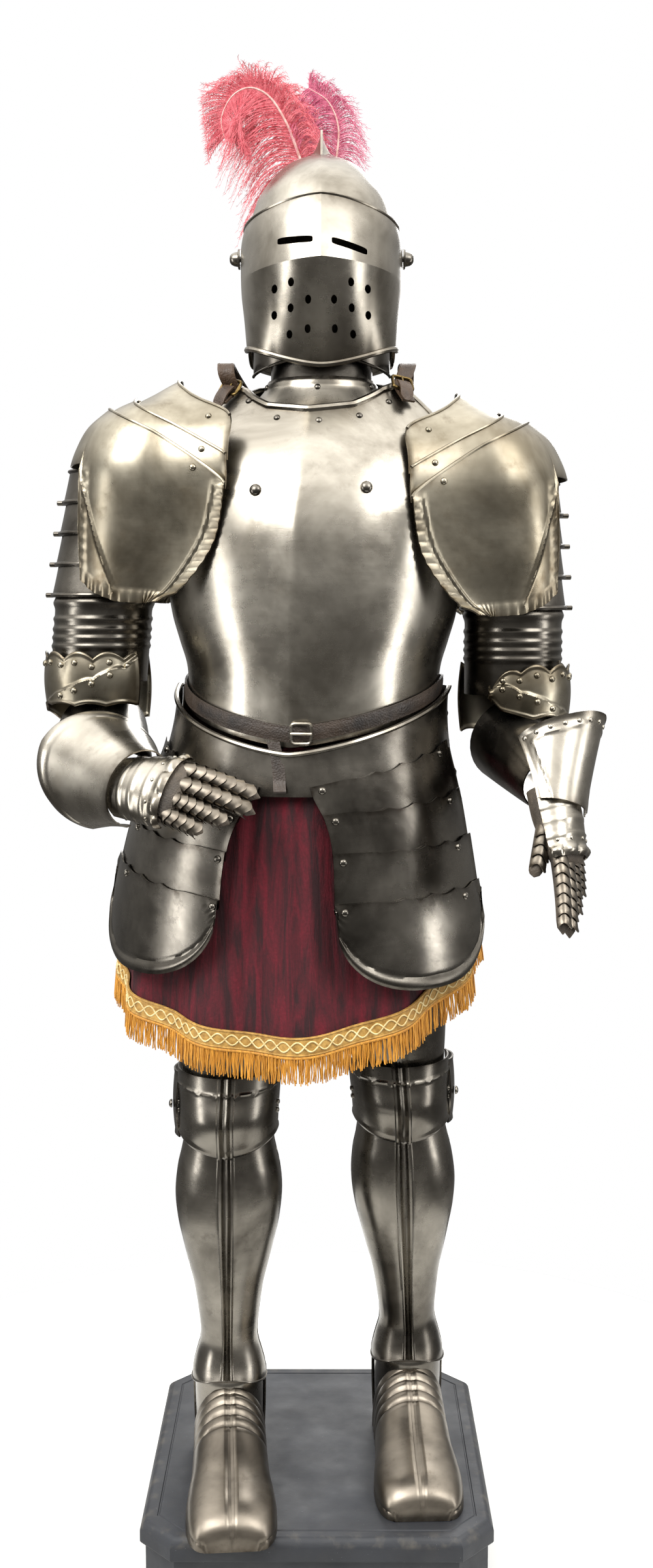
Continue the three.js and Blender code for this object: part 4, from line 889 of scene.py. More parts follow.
def add_shoulder_strap(name, out):
    """A leather strap over the shoulder, its buckle, and the free end beyond the buckle."""
    keys = [trunk(out * 50, 1.448), trunk(out * 57, 1.472), at(out * 0.118, -0.032, 1.497 + SOLE),
            at(out * 0.118, 0.026, 1.500 + SOLE), trunk(180 - out * 57, 1.472),
            trunk(180 - out * 50, 1.450)]
    rows = [dict(t=i / 5, x=float(k[0]), y=float(k[1]), z=float(k[2])) for i, k in enumerate(keys)]

    def strap(u, v):
        along = 1 - v
        slant = STRAP["slant"] * (2 * v - 1)
        across = at(cos(slant), out * sin(slant), 0 * slant)
        return read_path(rows, along) + across * (STRAP["half"] * (1 - 2 * u))[..., None]

    piece = Piece(f"shoulder_strap_{name}_piece", STRAP_LEATHER)

    def stitched(b):
        return ridge(np.abs(b["side"] - 0.0025), 0.0014, 0.0005) + ridge(b["side"], 0.001, -0.0004)

    grid = piece.wall(strap, 16, 90, thick=STRAP["thick"], shift=-STRAP["off"], relief=stitched)
    face = normals(grid, False)
    row, column = 74, 8  # where the buckle lies on the strap
    spot, normal = grid[row, column], face[row, column]
    ahead = unit(grid[row + 2, column] - grid[row - 2, column])
    side = np.cross(ahead, normal)
    tail = np.linspace(0, 1, 12)[:, None]
    hang = spot + normal * (0.005 + 0.006 * np.sin(tail * 2.4)) + ahead * 0.034 * tail
    hang = hang - normal * 0.004 * tail ** 2

    def flap(u, v):
        k = v * 11
        low = np.clip(k.astype(int), 0, 10)
        place = hang[low] + (hang[low + 1] - hang[low]) * (k - low)[..., None]
        narrow = 1 - 0.7 * np.clip((v - 0.8) / 0.2, 0, 1) ** 2
        return place - side * 0.0085 * ((2 * u - 1) * narrow)[..., None]

    piece.wall(flap, 8, 24, thick=0.0022)
    piece.build(f"shoulder_strap_{name}")

    piece = Piece(f"shoulder_buckle_{name}_piece", BRASS)
    lean = np.stack([ahead, side, normal], 1)
    buckle(piece, spot + normal * 0.0035, 0.0110, 0.0135, lean, BRASS)
    piece.build(f"shoulder_buckle_{name}")


# ---------------------------------------------------------------- fauld, tassets and culet

LINES = {
    "r": table(["z", "rise"], [[0.970, 0.048], [0.936, 0.032], [0.888, 0.028], [0.828, 0.034]]),
    "l": table(["z", "rise"], [[0.970, 0.048], [0.936, 0.018], [0.888, 0.006], [0.826, 0.008]]),
}
TASSET_OUTER = 77
TASSET_FOOT = {"r": 0.722, "l": 0.711}
UNDERLAP = 0.012
ARCH = table(["z", "half"], [
    [0.700, 0.072], [0.800, 0.070], [0.890, 0.064], [0.930, 0.052], [0.958, 0.036], [1.000, 0.020],
])


def tasset(out, u, z):
    share = u if out > 0 else 1 - u
    inner = np.degrees(np.arcsin(read(ARCH, "half", z) / read(HIPS, "half", z)))
    return hip(out * lerp(inner, TASSET_OUTER, share), z)


def scallop(share):
    """The waves of a lame's upper edge: two cusps in the middle and a longer wave outside."""
    wave = np.abs(np.sin(share * 5.5 * math.pi))
    return 0.0045 * wave * np.clip((share - 0.16) * 5, 0, 1) * np.clip((0.96 - share) * 8, 0, 1)


def add_tasset(name, out):
    lines = LINES[name]
    for k, row in enumerate(lines):
        lowest = k == len(lines) - 1

        def point(u, v, k=k, row=row, lowest=lowest):
            share = u if out > 0 else 1 - u
            top = row["z"] + row["rise"] * share - scallop(share)
            off_centre = np.abs(2 * share - 1)
            rounding = 0.105 * (1 - (1 - off_centre ** 2.4) ** (1 / 2.4))
            if lowest:
                bottom = TASSET_FOOT[name] + rounding
            else:
                bottom = lines[k + 1]["z"] + lines[k + 1]["rise"] * share - UNDERLAP
            return tasset(out, u, lerp(bottom, top, v))

        def stand(b, lowest=lowest):
            """A rolled border round the lowest plate, with a sunk line inside it."""
            if not lowest:
                return ridge(b["side"], 0.006, 0.0012)
            near = np.minimum(b["side"], b["foot"])
            below = np.clip(b["top"] / 0.014, 0, 1)
            roll = ridge(np.abs(near - 0.007), 0.007, 0.0026)
            return below * (roll - ridge(np.abs(near - 0.017), 0.003, 0.0012))

        piece = Piece(f"tasset_{name}_{k + 1}_piece", DARK)
        piece.wall(point, 110, 70 if lowest else 24, shift=-LAP_STEP * (k + 1), relief=stand)
        for share in (0.06, 0.9):
            u = share if out > 0 else 1 - share
            spot = point(np.array([u]), np.array([0.86]))[0]
            piece.studs([(spot[0], spot[2] - SOLE)], 0.0050, height=0.0038)
        piece.build(f"tasset_{name}_{k + 1}")


def add_fauld():
    def point(u, v):
        angle = lerp(-93, 93, u)
        share = np.clip((np.abs(angle) - 10) / (TASSET_OUTER - 10), 0, 1)
        foot = LINES["r"][0]["z"] - UNDERLAP + LINES["r"][0]["rise"] * share
        return hip(angle, lerp(foot, fauld_top(angle), v))

    piece = Piece("fauld_plate_piece", DARK)
    piece.wall(point, 180, 24)
    piece.tube(along_edge(point, 1, count=120), 0.0036, material=BRIGHT)
    piece.build("fauld_plate")

    def rear(u, v):
        angle = lerp(96, 264, u)
        return hip(angle, lerp(0.930 - 0.014 * np.abs(cos(angle)), fauld_top(angle), v))

    lame_lines = (0.02, 0.27, 0.52, 0.77)
    piece = Piece("culet_piece", DARK)
    piece.wall(rear, 120, 60, relief=lambda b: ridges(b["v"], lame_lines, 0.02, 0.0016))
    piece.build("culet")


# ---------------------------------------------------------------- skirt

FOLDS = 12
SKIRT_TOP = 0.990
HEM = {"front": 0.632, "left": 0.116, "right": 0.070, "back": 0.700}  # left and right: its rise there
BRAID_TURNS = 46
STRANDS = 1000


def hem_line(angle):
    a = signed(angle)
    rise = np.where(a > 0, HEM["left"], HEM["right"])
    side = HEM["front"] + rise * (1 - np.maximum(0, cos(a))) ** 0.9
    return np.where(cos(a) >= 0, side, lerp(side, HEM["back"], cos(a) ** 2))


def skirt(angle, z, fine=0.0):
    fold = read(SKIRT, "fold", z) * (sin(FOLDS * angle) + 0.4 * sin(5 * angle + 40))
    pleats = sin(37 * angle + 60 * sin(3 * angle)) + 0.6 * sin(61 * angle + 300 * z)
    hang = np.clip((z - hem_line(angle) - 0.02) / 0.06, 0, 1)
    fold = fold + fine * hang * np.sign(pleats) * np.abs(pleats) ** 0.8
    half = read(SKIRT, "half", z) + fold
    depth = depth_at(SKIRT, angle, z) + fold
    return lifted(oval([read(SKIRT, "x", z), 0], half, depth, angle, z, BODY_TURN))


def add_skirt():
    around = 540  # grid lines round the skirt

    def cloth(u, v):
        angle = 360 * u
        return skirt(angle, lerp(hem_line(angle), SKIRT_TOP, v), 0.0014)

    piece = Piece("skirt_cloth_piece", VELVET)
    piece.wall(cloth, around, 90, ring=True)
    velvet = piece.build("skirt_cloth", sharp=80)

    band = Piece("skirt_braid_piece", BRAID)
    band.wall(lambda u, v: skirt(360 * u, hem_line(360 * u) + BRAID_HEIGHT * v), around, 6,
              ring=True, thick=0.0016, shift=-0.0040)
    for phase in (0, 180):
        share = np.linspace(0, 1, BRAID_TURNS * 14, endpoint=False)
        height = BRAID_HEIGHT * (0.5 + 0.27 * sin(360 * BRAID_TURNS * share + phase))
        path = skirt(360 * share, hem_line(360 * share) + height)
        away = unit(path - np.array([-0.02, 0, 0]) - at(0, 0, path[:, 2]))
        band.tube(path + away * 0.0046, 0.0011, sides=5, closed=True, material=BRAID_PALE)
    for v in (0.06, 0.94):
        share = np.linspace(0, 1, around, endpoint=False)
        path = skirt(360 * share, hem_line(360 * share) + BRAID_HEIGHT * v)
        band.tube(path + outward(path) * 0.0042, 0.0012, sides=5, closed=True)
    braid = band.build("skirt_braid", sharp=80)

    strands = Piece("skirt_fringe_piece", FRINGE)
    for i in range(STRANDS):
        angle = 360 * (i + 0.4 * chance.random()) / STRANDS
        length = FRINGE_LENGTH * chance.uniform(0.86, 1.0)
        lean = chance.uniform(-0.5, 0.5)
        out = chance.uniform(0.0012, 0.0042)
        drop = np.linspace(0, 1, 6)
        angles = angle + lean * drop ** 2 + 0.12 * sin(500 * drop + 360 * chance.random())
        path = skirt(angles, hem_line(angles) - length * drop)
        strands.tube(path + outward(path) * out, 0.0011 * (1 - 0.35 * drop), sides=4)
    heading = np.linspace(0, 1, around, endpoint=False)
    path = skirt(360 * heading, hem_line(360 * heading) - 0.002)
    strands.tube(path + outward(path) * 0.0030, 0.0022, sides=6, closed=True)
    fringe = strands.build("skirt_fringe", sharp=80)

    hem = skirt(np.linspace(0, 360, 361), hem_line(np.linspace(0, 360, 361)))
    width = float(np.linalg.norm(np.diff(hem, axis=0), axis=1).sum())


# ---------------------------------------------------------------- helmet

CROWN_Z = 1.772
COMB = table(["y", "z"], [
    [-0.036, 1.762], [-0.022, 1.778], [-0.008, 1.795], [0.004, 1.808], [0.014, 1.812],
    [0.036, 1.798], [0.056, 1.776], [0.074, 1.752],
])
COMB_FOOT = table(["y", "z"], [
    [-0.036, 1.752], [-0.006, 1.768], [0.020, 1.770], [0.046, 1.758], [0.074, 1.742],
])


def helm(angle, z):
    ridge_out = 0.0035 * np.maximum(0, 1 - np.abs(signed(angle)) / 12)
    depth = depth_at(SKULL, angle, z) + ridge_out
    return lifted(oval([HELM_X, 0], read(SKULL, "half", z), depth, angle, z))


def skull_edge(angle):
    """The brow over the face, and the nape and cheeks behind, with rounded corners in front."""
    away = np.abs(signed(angle))
    corner = 0.050 * np.clip((108 - away) / 28, 0, 1) ** 2.2
    return np.where(away < 80, BROW_Z, 1.503 + 0.008 * np.abs(sin(angle)) + corner)


def add_skull():
    piece = Piece("helm_skull_piece", BRIGHT)

    def side(u, v):
        angle = lerp(80.5, 279.5, u)
        return helm(angle, lerp(skull_edge(angle), BROW_Z, v))

    def dome(u, v):
        angle = 360 * u
        return helm(angle, lerp(BROW_Z, CROWN_Z, v))

    piece.wall(side, 120, 60)
    piece.wall(dome, 180, 44, ring=True)
    piece.tube(along_edge(side, 0, count=120), 0.0026)
    lid_low = helm(np.linspace(0, 360, 60, endpoint=False), CROWN_Z)
    top = np.array([HELM_X, 0.005, 1.780 + SOLE])
    count = len(lid_low)
    inner = lerp(lid_low, top, 0.5) + np.array([0, 0, 0.0025])
    faces = [[i, (i + 1) % count, count + (i + 1) % count, count + i] for i in range(count)]
    faces += [[count + i, count + (i + 1) % count, 2 * count] for i in range(count)]
    piece.add(np.concatenate([lid_low, inner, [top]]), faces)
    ys = np.linspace(COMB[0]["y"], COMB[-1]["y"], 50)
    tops = read(COMB, "z", ys, "y")
    bases = read_straight(COMB_FOOT, "z", ys, "y")
    shape = []
    for y, high, low in zip(ys, tops, bases):
        ring = []
        for share in np.linspace(0, 1, 8):
            half = 0.0014 + 0.0200 * (1 - share) ** 2.1
            ring.append([HELM_X + half, y, lerp(low, high, share) + SOLE])
        ring += [[2 * HELM_X - p[0], p[1], p[2]] for p in reversed(ring)]
        shape.append(ring)
    piece.add(shape, closed_loft(len(shape), len(shape[0])))
    piece.build("helm_skull", sharp=14)

    def bevor(u, v):
        angle = lerp(-88, 88, u)
        foot = 1.513 - 0.020 * np.abs(sin(angle)) ** 1.5
        return lifted(oval([HELM_X, -0.004], 0.090, lerp(0.070, 0.084, v), angle, lerp(foot, 1.558, v)))

    piece = Piece("helm_bevor_piece", DARK)
    piece.wall(bevor, 60, 12)
    piece.tube(along_edge(bevor, 0), 0.002)
    piece.build("helm_bevor")


VISOR_REAR = table(["z", "y"], [
    [1.490, -0.038], [1.530, -0.022], [1.565, -0.006], [1.600, 0.008], [1.645, 0.014], [1.680, -0.004],
])
VISOR_HALF = table(["z", "half"], [
    [1.490, 0.0945], [1.530, 0.098], [1.565, 0.1015], [1.600, 0.1055], [1.645, 0.1065],
    [1.662, 0.105], [1.680, 0.0995], [1.698, 0.091],
])
BREATHS = table(["x", "z"], [
    [0.037, 1.589], [0.058, 1.584], [0.016, 1.569], [0.038, 1.561], [0.059, 1.555], [0.017, 1.537],
    [0.040, 1.532],
])
EYES = table(["x", "z", "tilt"], [[-0.032, 1.638, -2.6], [0.035, 1.631, -12]])
BREATH = {"half": 0.0038, "high": 0.0050}
EYE_SLOT = {"half": 0.022, "high": 0.0045}


def visor_foot(angle):
    return 1.497 + 0.027 * np.abs(sin(angle)) ** 1.5


def visor_top(angle):
    return 1.697 - 0.019 * np.abs(sin(angle)) ** 1.6


def crease_line(angle):
    return CREASE_Z - 0.007 * np.abs(sin(angle))


# The prow: how far forward its crease stands, and how far the faces above and below draw back.
PROW = {"front": 0.152, "above": 0.031, "below": 0.071, "keel": 0.0095, "keel_angle": 36}


def visor(angle, z):
    crease = crease_line(angle)
    above = np.maximum(0, (z - crease) / (visor_top(0) - CREASE_Z))
    below = np.maximum(0, (crease - z) / (CREASE_Z - visor_foot(0)))
    keel = PROW["keel"] * np.maximum(0, 1 - np.abs(angle) / PROW["keel_angle"]) ** 1.15
    drawn_back = np.where(z > crease, PROW["above"] * above ** 1.1, PROW["below"] * below ** 1.08)
    front = PROW["front"] - drawn_back
    rear = read(VISOR_REAR, "y", z)
    rounded = np.sign(angle) * np.abs(sin(angle)) ** 0.92
    x = read(VISOR_HALF, "half", z) * rounded
    y = rear - (front + rear) * np.maximum(0, cos(angle)) ** 0.92 - keel
    return lifted(at(HELM_X + x, y, z))


def visor_sheet(u, v):
    angle = lerp(-90, 90, u)
    crease = crease_line(angle)
    lower = lerp(visor_foot(angle), crease, v / 0.5)
    upper = lerp(crease, visor_top(angle), (v - 0.5) / 0.5)
    return visor(angle, np.where(v <= 0.5, lower, upper))


def prism(x, z, half, high, sides, tilt=0.0, square=False):
    """An outline through the face, run from well before the visor to behind its front wall."""
    turn = np.arange(sides) * TAU / sides + TAU / (2 * sides)
    if square:
        across = half * np.sign(np.cos(turn)) * np.abs(np.cos(turn)) ** 0.35
        up = high * np.sign(np.sin(turn)) * np.abs(np.sin(turn)) ** 0.35
    else:
        across, up = half * np.cos(turn), high * np.sin(turn)
    up = up + across * math.tan(math.radians(tilt))
    near = at(x + across, -0.20, z + up + SOLE)
    far = at(x + across, -0.05, z + up + SOLE)
    faces = [[i, sides + i, sides + (i + 1) % sides, (i + 1) % sides] for i in range(sides)]
    faces += [list(range(sides)), list(reversed(range(sides, 2 * sides)))]
    return np.concatenate([near, far]), faces


def cut(made, holes):
    """Takes closed prisms out of an object's mesh."""
    points, faces = [], []
    for corners, sides in holes:
        faces += [[i + len(points) for i in face] for face in sides]
        points += corners.tolist()
    mesh = bpy.data.meshes.new("cutter")
    mesh.from_pydata(points, [], faces)
    tool = bpy.data.objects.new("cutter", mesh)
    bpy.context.scene.collection.objects.link(tool)
    change = made.modifiers.new("holes", "BOOLEAN")
    change.operation, change.object, change.solver = "DIFFERENCE", tool, "EXACT"
    bpy.context.view_layer.update()
    shape = bpy.data.meshes.new_from_object(made.evaluated_get(bpy.context.evaluated_depsgraph_get()))
    made.modifiers.clear()
    made.data = shape
    bpy.data.objects.remove(tool)


def add_visor():
    piece = Piece("helm_visor_piece", BRIGHT, "visor")
    piece.wall(visor_sheet, 160, 100)
    made = piece.build("helm_visor", sharp=10)
    holes = [
        prism(HELM_X + eye["x"], eye["z"], EYE_SLOT["half"], EYE_SLOT["high"], 24, eye["tilt"], square=True)
        for eye in EYES
    ]
    for side in (-1, 1):
        for row in BREATHS:
            holes.append(prism(HELM_X + side * row["x"], row["z"], BREATH["half"], BREATH["high"], 14))
    cut(made, holes)
    rim = Piece("visor_rim", BRIGHT, "visor")
    rim.tube(along_edge(visor_sheet, 0, count=90), 0.0036)
    rim.tube(along_edge(visor_sheet, 1, count=90), 0.0020)
    rim.build()


def add_pivot(name, out):
    profile = [(0.0036, 0), (0.0036, 0.0052), (0.013, 0.0052), (0.013, 0.0072), (0.0124, 0.0078),
               (0.0096, 0.0082), (0.0092, 0.0100), (0.0086, 0.0130), (0.0070, 0.0164),
               (0.0046, 0.0184), (0.0020, 0.0190)]
    sides = 32
    turn = np.arange(sides) * TAU / sides
    start = HELM_X + out * (float(read(SKULL, "half", PIVOT_Z)) + 0.0003)
    rings = [at(start + out * along, radius * np.cos(turn) * out, radius * np.sin(turn) + PIVOT_Z + SOLE)
             for radius, along in profile]
    piece = Piece(f"visor_pivot_{name}_piece", DARK)
    piece.add(rings, closed_loft(len(rings), sides))
    piece.build(f"visor_pivot_{name}")


def add_feather(piece, rachis, reaches, lean, count, material, hairs=16, left_limit=-0.156):
    """One ostrich feather: a quill, long drooping barbs on both sides, and short hairs on each."""
    keys = np.linspace(0, 1, len(rachis))
    rows = [dict(t=k, x=p[0], y=p[1], z=p[2] + SOLE) for k, p in zip(keys, rachis)]

    def curve(s):
        return read_path(rows, s)

    t = np.linspace(0, 1, 48)
    piece.tube(curve(t), 0.0026 * (1 - 0.85 * t), sides=6, material=QUILL)
    points, faces = [], []

    def ribbon(path, wide, facing):
        start = len(points)
        along = unit(np.gradient(path, axis=0))
        across = unit(np.cross(along, facing))
        taper = wide * (1 - 0.8 * np.linspace(0, 1, len(path)) ** 2)
        for p, a, w in zip(path, across, taper):
            points.append(p - a * w)
            points.append(p + a * w)
        for i in range(len(path) - 1):
            k = start + 2 * i
            faces.append([k, k + 1, k + 3, k + 2])

    for i in range(count):
        s = 0.04 + 0.96 * (i + chance.random()) / count
        base = curve(np.array([s]))[0]
        ahead = unit(curve(np.array([min(1, s + 0.02)]))[0] - curve(np.array([max(0, s - 0.02)]))[0])
        side = 1 if i % 2 else -1
        out = unit(np.cross(ahead, [0, 1, 0])) * side
        full = float(np.interp(s, [0, 0.1, 0.35, 0.7, 1], reaches[0 if side > 0 else 1]))
        reach = full * chance.uniform(0.74, 1.06)
        if out[0] < 0:
            reach = min(reach, max(0.012, (base[0] - left_limit) / (0.3 - 0.8 * out[0])))
        sway = np.array([0, chance.uniform(-1, 1) * 0.55 + lean, 0])
        steps = np.linspace(0, 1, 12)[:, None]
        curl = chance.uniform(0.30, 0.85)
        path = base + reach * (
            steps * out * 0.9 + ahead * (0.60 * steps - 0.30 * steps ** 2)
            + sway * 0.5 * steps ** 1.5 - np.array([0, 0, 1]) * curl * steps ** 2.6
        )
        hook = chance.uniform(0, 0.12) * reach
        path += hook * np.sin(steps * 4.5 + chance.random() * 2) * steps ** 2 * np.array([1, 0.4, 0.6])
        facing = unit(np.array([chance.uniform(-0.5, 0.5), 1, chance.uniform(-0.5, 0.5)]))
        ribbon(path, 0.00055, facing)
        flow = unit(np.gradient(path, axis=0))
        for j in range(hairs):
            q = (j + chance.random()) / hairs
            k = q * (len(path) - 1)
            low = int(k)
            spot = lerp(path[low], path[min(low + 1, len(path) - 1)], k - low)
            way = unit(
                flow[low] * chance.uniform(0.8, 1.6)
                + np.cross(flow[low], facing) * (1 if j % 2 else -1)
                + facing * chance.uniform(-0.4, 0.4)
            )
            hair = chance.uniform(0.004, 0.0085) * (1 - 0.3 * q)
            bow = np.array([0, 0, -1]) * hair * 0.25
            ribbon(np.array([spot, spot + way * hair * 0.55 + bow * 0.3, spot + way * hair + bow]),
                   0.00026, facing)
    piece.add(points, faces, material)


def add_plume():
    """A coral feather curling over to the right, a second behind it, and a pinker one beside it."""
    piece = Piece("plume_piece", FEATHER)
    main = [(0.006, 0.129, 1.733), (-0.010, 0.118, 1.766), (-0.028, 0.104, 1.812),
            (-0.044, 0.094, 1.848), (-0.066, 0.088, 1.878), (-0.092, 0.085, 1.888),
            (-0.116, 0.084, 1.876), (-0.130, 0.084, 1.848), (-0.126, 0.084, 1.822)]
    right = [(0.006, 0.131, 1.735), (0.016, 0.124, 1.770), (0.026, 0.118, 1.808),
             (0.028, 0.110, 1.846), (0.014, 0.104, 1.876), (-0.012, 0.100, 1.892)]
    rear = [(0.006, 0.133, 1.735), (-0.004, 0.134, 1.776), (-0.018, 0.130, 1.822),
            (-0.034, 0.122, 1.860), (-0.060, 0.114, 1.888), (-0.092, 0.110, 1.890)]
    add_feather(piece, main, ([0.060, 0.098, 0.092, 0.060, 0.040], [0.034, 0.052, 0.062, 0.060, 0.052]),
                -0.3, 520, FEATHER, 17)
    add_feather(piece, right, ([0.034, 0.056, 0.060, 0.052, 0.046], [0.034, 0.046, 0.050, 0.046, 0.044]),
                0.1, 320, FEATHER_DEEP, 14)
    add_feather(piece, rear, ([0.060, 0.094, 0.090, 0.070, 0.050], [0.036, 0.056, 0.062, 0.056, 0.050]),
                0.3, 340, FEATHER, 13)
    piece.build("plume", sharp=180)

    def socket(u, v):
        radius = 0.008 + 0.001 * np.abs(2 * v - 1) ** 4
        return lifted(oval([HELM_X, 0.129], radius, radius, 360 * u, lerp(1.688, 1.7326, v)))

    piece = Piece("plume_holder_piece", BRASS)
    piece.wall(socket, 32, 12, ring=True, thick=0.0015)
    piece.build("plume_holder")


# ---------------------------------------------------------------- shoulders and arms

def pauldron(arm, w, z):
    away = np.abs(w)
    centre, depth = read(PAULDRON, "centre", z), read(PAULDRON, "depth", z)
    turn = 90 * (1 - np.minimum(1, away / PAULDRON_ROUND))
    share = np.clip((away - PAULDRON_ROUND) / (1 - PAULDRON_ROUND), 0, 1)
    out = np.where(
        away <= PAULDRON_ROUND,
        centre + read(PAULDRON, "reach", z) * sin(turn),
        lerp(centre, read(PAULDRON, "inner", z), share),
    )
    y = np.where(away <= PAULDRON_ROUND, depth * cos(turn), depth * (1 + 0.17 * share ** 2))
    return lifted(at(arm["out"] * (out + arm["spread"]), y * np.sign(w), z + arm["lift"]))


def line_b(w):
    return 1.344 + 0.106 * np.maximum(0, cos(90 * w)) ** 0.8


def line_a(w):
    return 1.381 + 0.086 * np.maximum(0, cos(90 * w)) ** 0.9


def pauldron_top(w):
    return 1.435 + 0.061 * np.maximum(0, cos(90 * w)) ** 0.6


# The flap at a pauldron's lower border: where the crease across it starts and how it falls, where
# the flap itself starts, the metres of plate in one unit of w, and the width of the crimped border.
FLAP = {"top": 1.350, "from": 0.30, "fall": 0.72, "start": 0.285, "metres": 0.306, "crimped": 0.016}


def flap_crease(w):
    return FLAP["top"] - (w - FLAP["from"]) * FLAP["fall"]


def add_pauldron(name, arm):
    def band(low, high):
        def point(u, v):
            w = arm["out"] * (2 * u - 1)
            return pauldron(arm, w, lerp(low(w), high(w), v))
        return point

    def foot(w):
        return read_straight(PAULDRON_EDGE, "z", np.abs(w), "w")

    under = 0.007
    main = band(foot, line_b)
    second = band(lambda w: line_b(w) - under, line_a)
    third = band(lambda w: line_a(w) - under, pauldron_top)

    def crimps(b):
        """Pinched flutes round the flap, a roll inside them, and a crease across its outer corner."""
        w = np.abs(2 * b["u"] - 1)
        z = lerp(foot(w), line_b(w), b["v"])
        low = np.clip((FLAP["top"] - z) / 0.01, 0, 1)
        wave = lambda run: 0.35 + 0.65 * np.abs(np.cos(run * math.pi / 0.0135))
        wide, start = FLAP["crimped"], FLAP["start"]
        beside = np.clip(1 - b["side"] / wide, 0, 1) ** 0.5 * low * wave(z)
        outer = np.clip(1 - np.abs(w - start) * FLAP["metres"] / wide, 0, 1) ** 0.5
        outer = outer * np.clip((1.375 - z) / 0.01, 0, 1) * wave(z) * (w > start - 0.02)
        below = np.clip(1 - b["foot"] / wide, 0, 1) ** 0.5 * wave(w * FLAP["metres"]) * (w > start)
        edge_band = np.maximum(np.maximum(beside, below), outer)
        roll = ridge(np.abs(b["side"] - 0.020), 0.0035, 0.0018) * low
        crease = ridge(np.abs(z - flap_crease(w)), 0.006, 0.0022) * (w > 0.29) * (w < 0.50)
        return 0.0034 * edge_band + roll + crease

    piece = Piece(f"pauldron_{name}_piece", GOLDEN)
    columns, rows = 440, 150
    piece.wall(main, columns, rows, relief=crimps)
    u = np.linspace(0, 1, columns + 1)
    w = np.abs(2 * u - 1)
    v = np.linspace(0, 1, rows + 1)
    z = lerp(foot(w)[None, :], line_b(w)[None, :], v[:, None])
    # The flap below its crease and a band along the lower border are made darker, as the plate's borders
    # are.
    darkened = ((z < flap_crease(w)) & (w > 0.27) & (w < 0.50)) * 0.55
    darkened = np.maximum(darkened, np.maximum(0, 0.5 - 0.03 * np.abs((z - 1.20) * 1000)))
    darkened = darkened[np.ix_(every_other(len(v)), every_other(len(u)))]
    piece.edges[0] = np.maximum(piece.edges[0], np.concatenate([darkened.ravel(), darkened.ravel()]))
    piece.tube(along_edge(main, 1, count=160), 0.0021, edge=0.3)
    for share in (0.075, 0.925):
        spot = main(np.array([share]), np.array([0.93]))[0]
        normal = unit([0, -1 if spot[1] < 0 else 1, 0.2])
        piece.dome(spot, normal, 0.0046, 0.0035)
    piece.build(f"pauldron_{name}")
    for number, point, shift in ((2, second, LAP_STEP + 0.0006), (1, third, 2 * LAP_STEP + 0.0012)):
        piece = Piece(f"pauldron_{name}_lame_{number}_piece", GOLDEN)
        grid = piece.wall(point, 200, 30, shift=shift, relief=lambda b: ridge(b["side"], 0.005, 0.0016))
        piece.tube(grid[-1], 0.0021, edge=0.3)
        face = normals(grid, False)
        for column in (12, 188):
            piece.dome(grid[20, column], face[20, column], 0.0042, 0.0032)
        piece.build(f"pauldron_{name}_lame_{number}")


UPPER_ARM = {"foot": 1.092, "top": 1.370, "roll": 1.205}


def add_upper_arm(name, arm):
    low, high = arm["upper"]

    def middle(z):
        t = (z - UPPER_ARM["roll"]) / (UPPER_ARM["top"] - UPPER_ARM["roll"])
        return [lerp(low[0], high[0], t), lerp(low[1], high[1], t)]

    def lames(u, v):
        z = lerp(UPPER_ARM["roll"] + 0.002, UPPER_ARM["top"], v)
        radius = lerp(0.0665, 0.057, v)
        step = (4 * v) % 1
        radius = radius + 0.0034 * (1 - step) ** 1.2
        return lifted(oval(middle(z), radius, radius, 360 * u, z + arm["lift"]))

    piece = Piece(f"arm_lames_{name}_piece", DARK)
    piece.wall(lames, 90, 120, ring=True)
    for k in range(4):
        rim = along_edge(lames, k / 4 + 0.002, 0, 1 - 1 / 72, 72)
        piece.tube(rim, 0.0030, closed=True)
        outside = rim[np.argmax(rim[:, 0] * arm["out"])]
        end = outside + np.array([arm["out"] * 0.010, 0, 0])
        piece.tube([outside, lerp(outside, end, 0.9), end], np.array([0.0034, 0.0034, 0.0018]), sides=10)
    piece.build(f"arm_lames_{name}")

    def tube(u, v):
        z = lerp(UPPER_ARM["foot"], UPPER_ARM["roll"], v)
        radius = 0.065 + 0.0030 * np.exp(-((v - 0.93) / 0.05) ** 2)
        return lifted(oval(middle(z), radius, radius, 360 * u, z + arm["lift"]))

    piece = Piece(f"rerebrace_{name}_piece", DARK)
    flutes = (0.42, 0.52, 0.62, 0.74)
    piece.wall(tube, 100, 90, ring=True, relief=lambda b: ridges(b["v"], flutes, 0.04, 0.0018))
    piece.build(f"rerebrace_{name}")


ELBOW = {"foot": 1.037, "top": 1.124, "seam": 1.093, "fall": 0.00065, "low": 1.045, "high": 1.131}


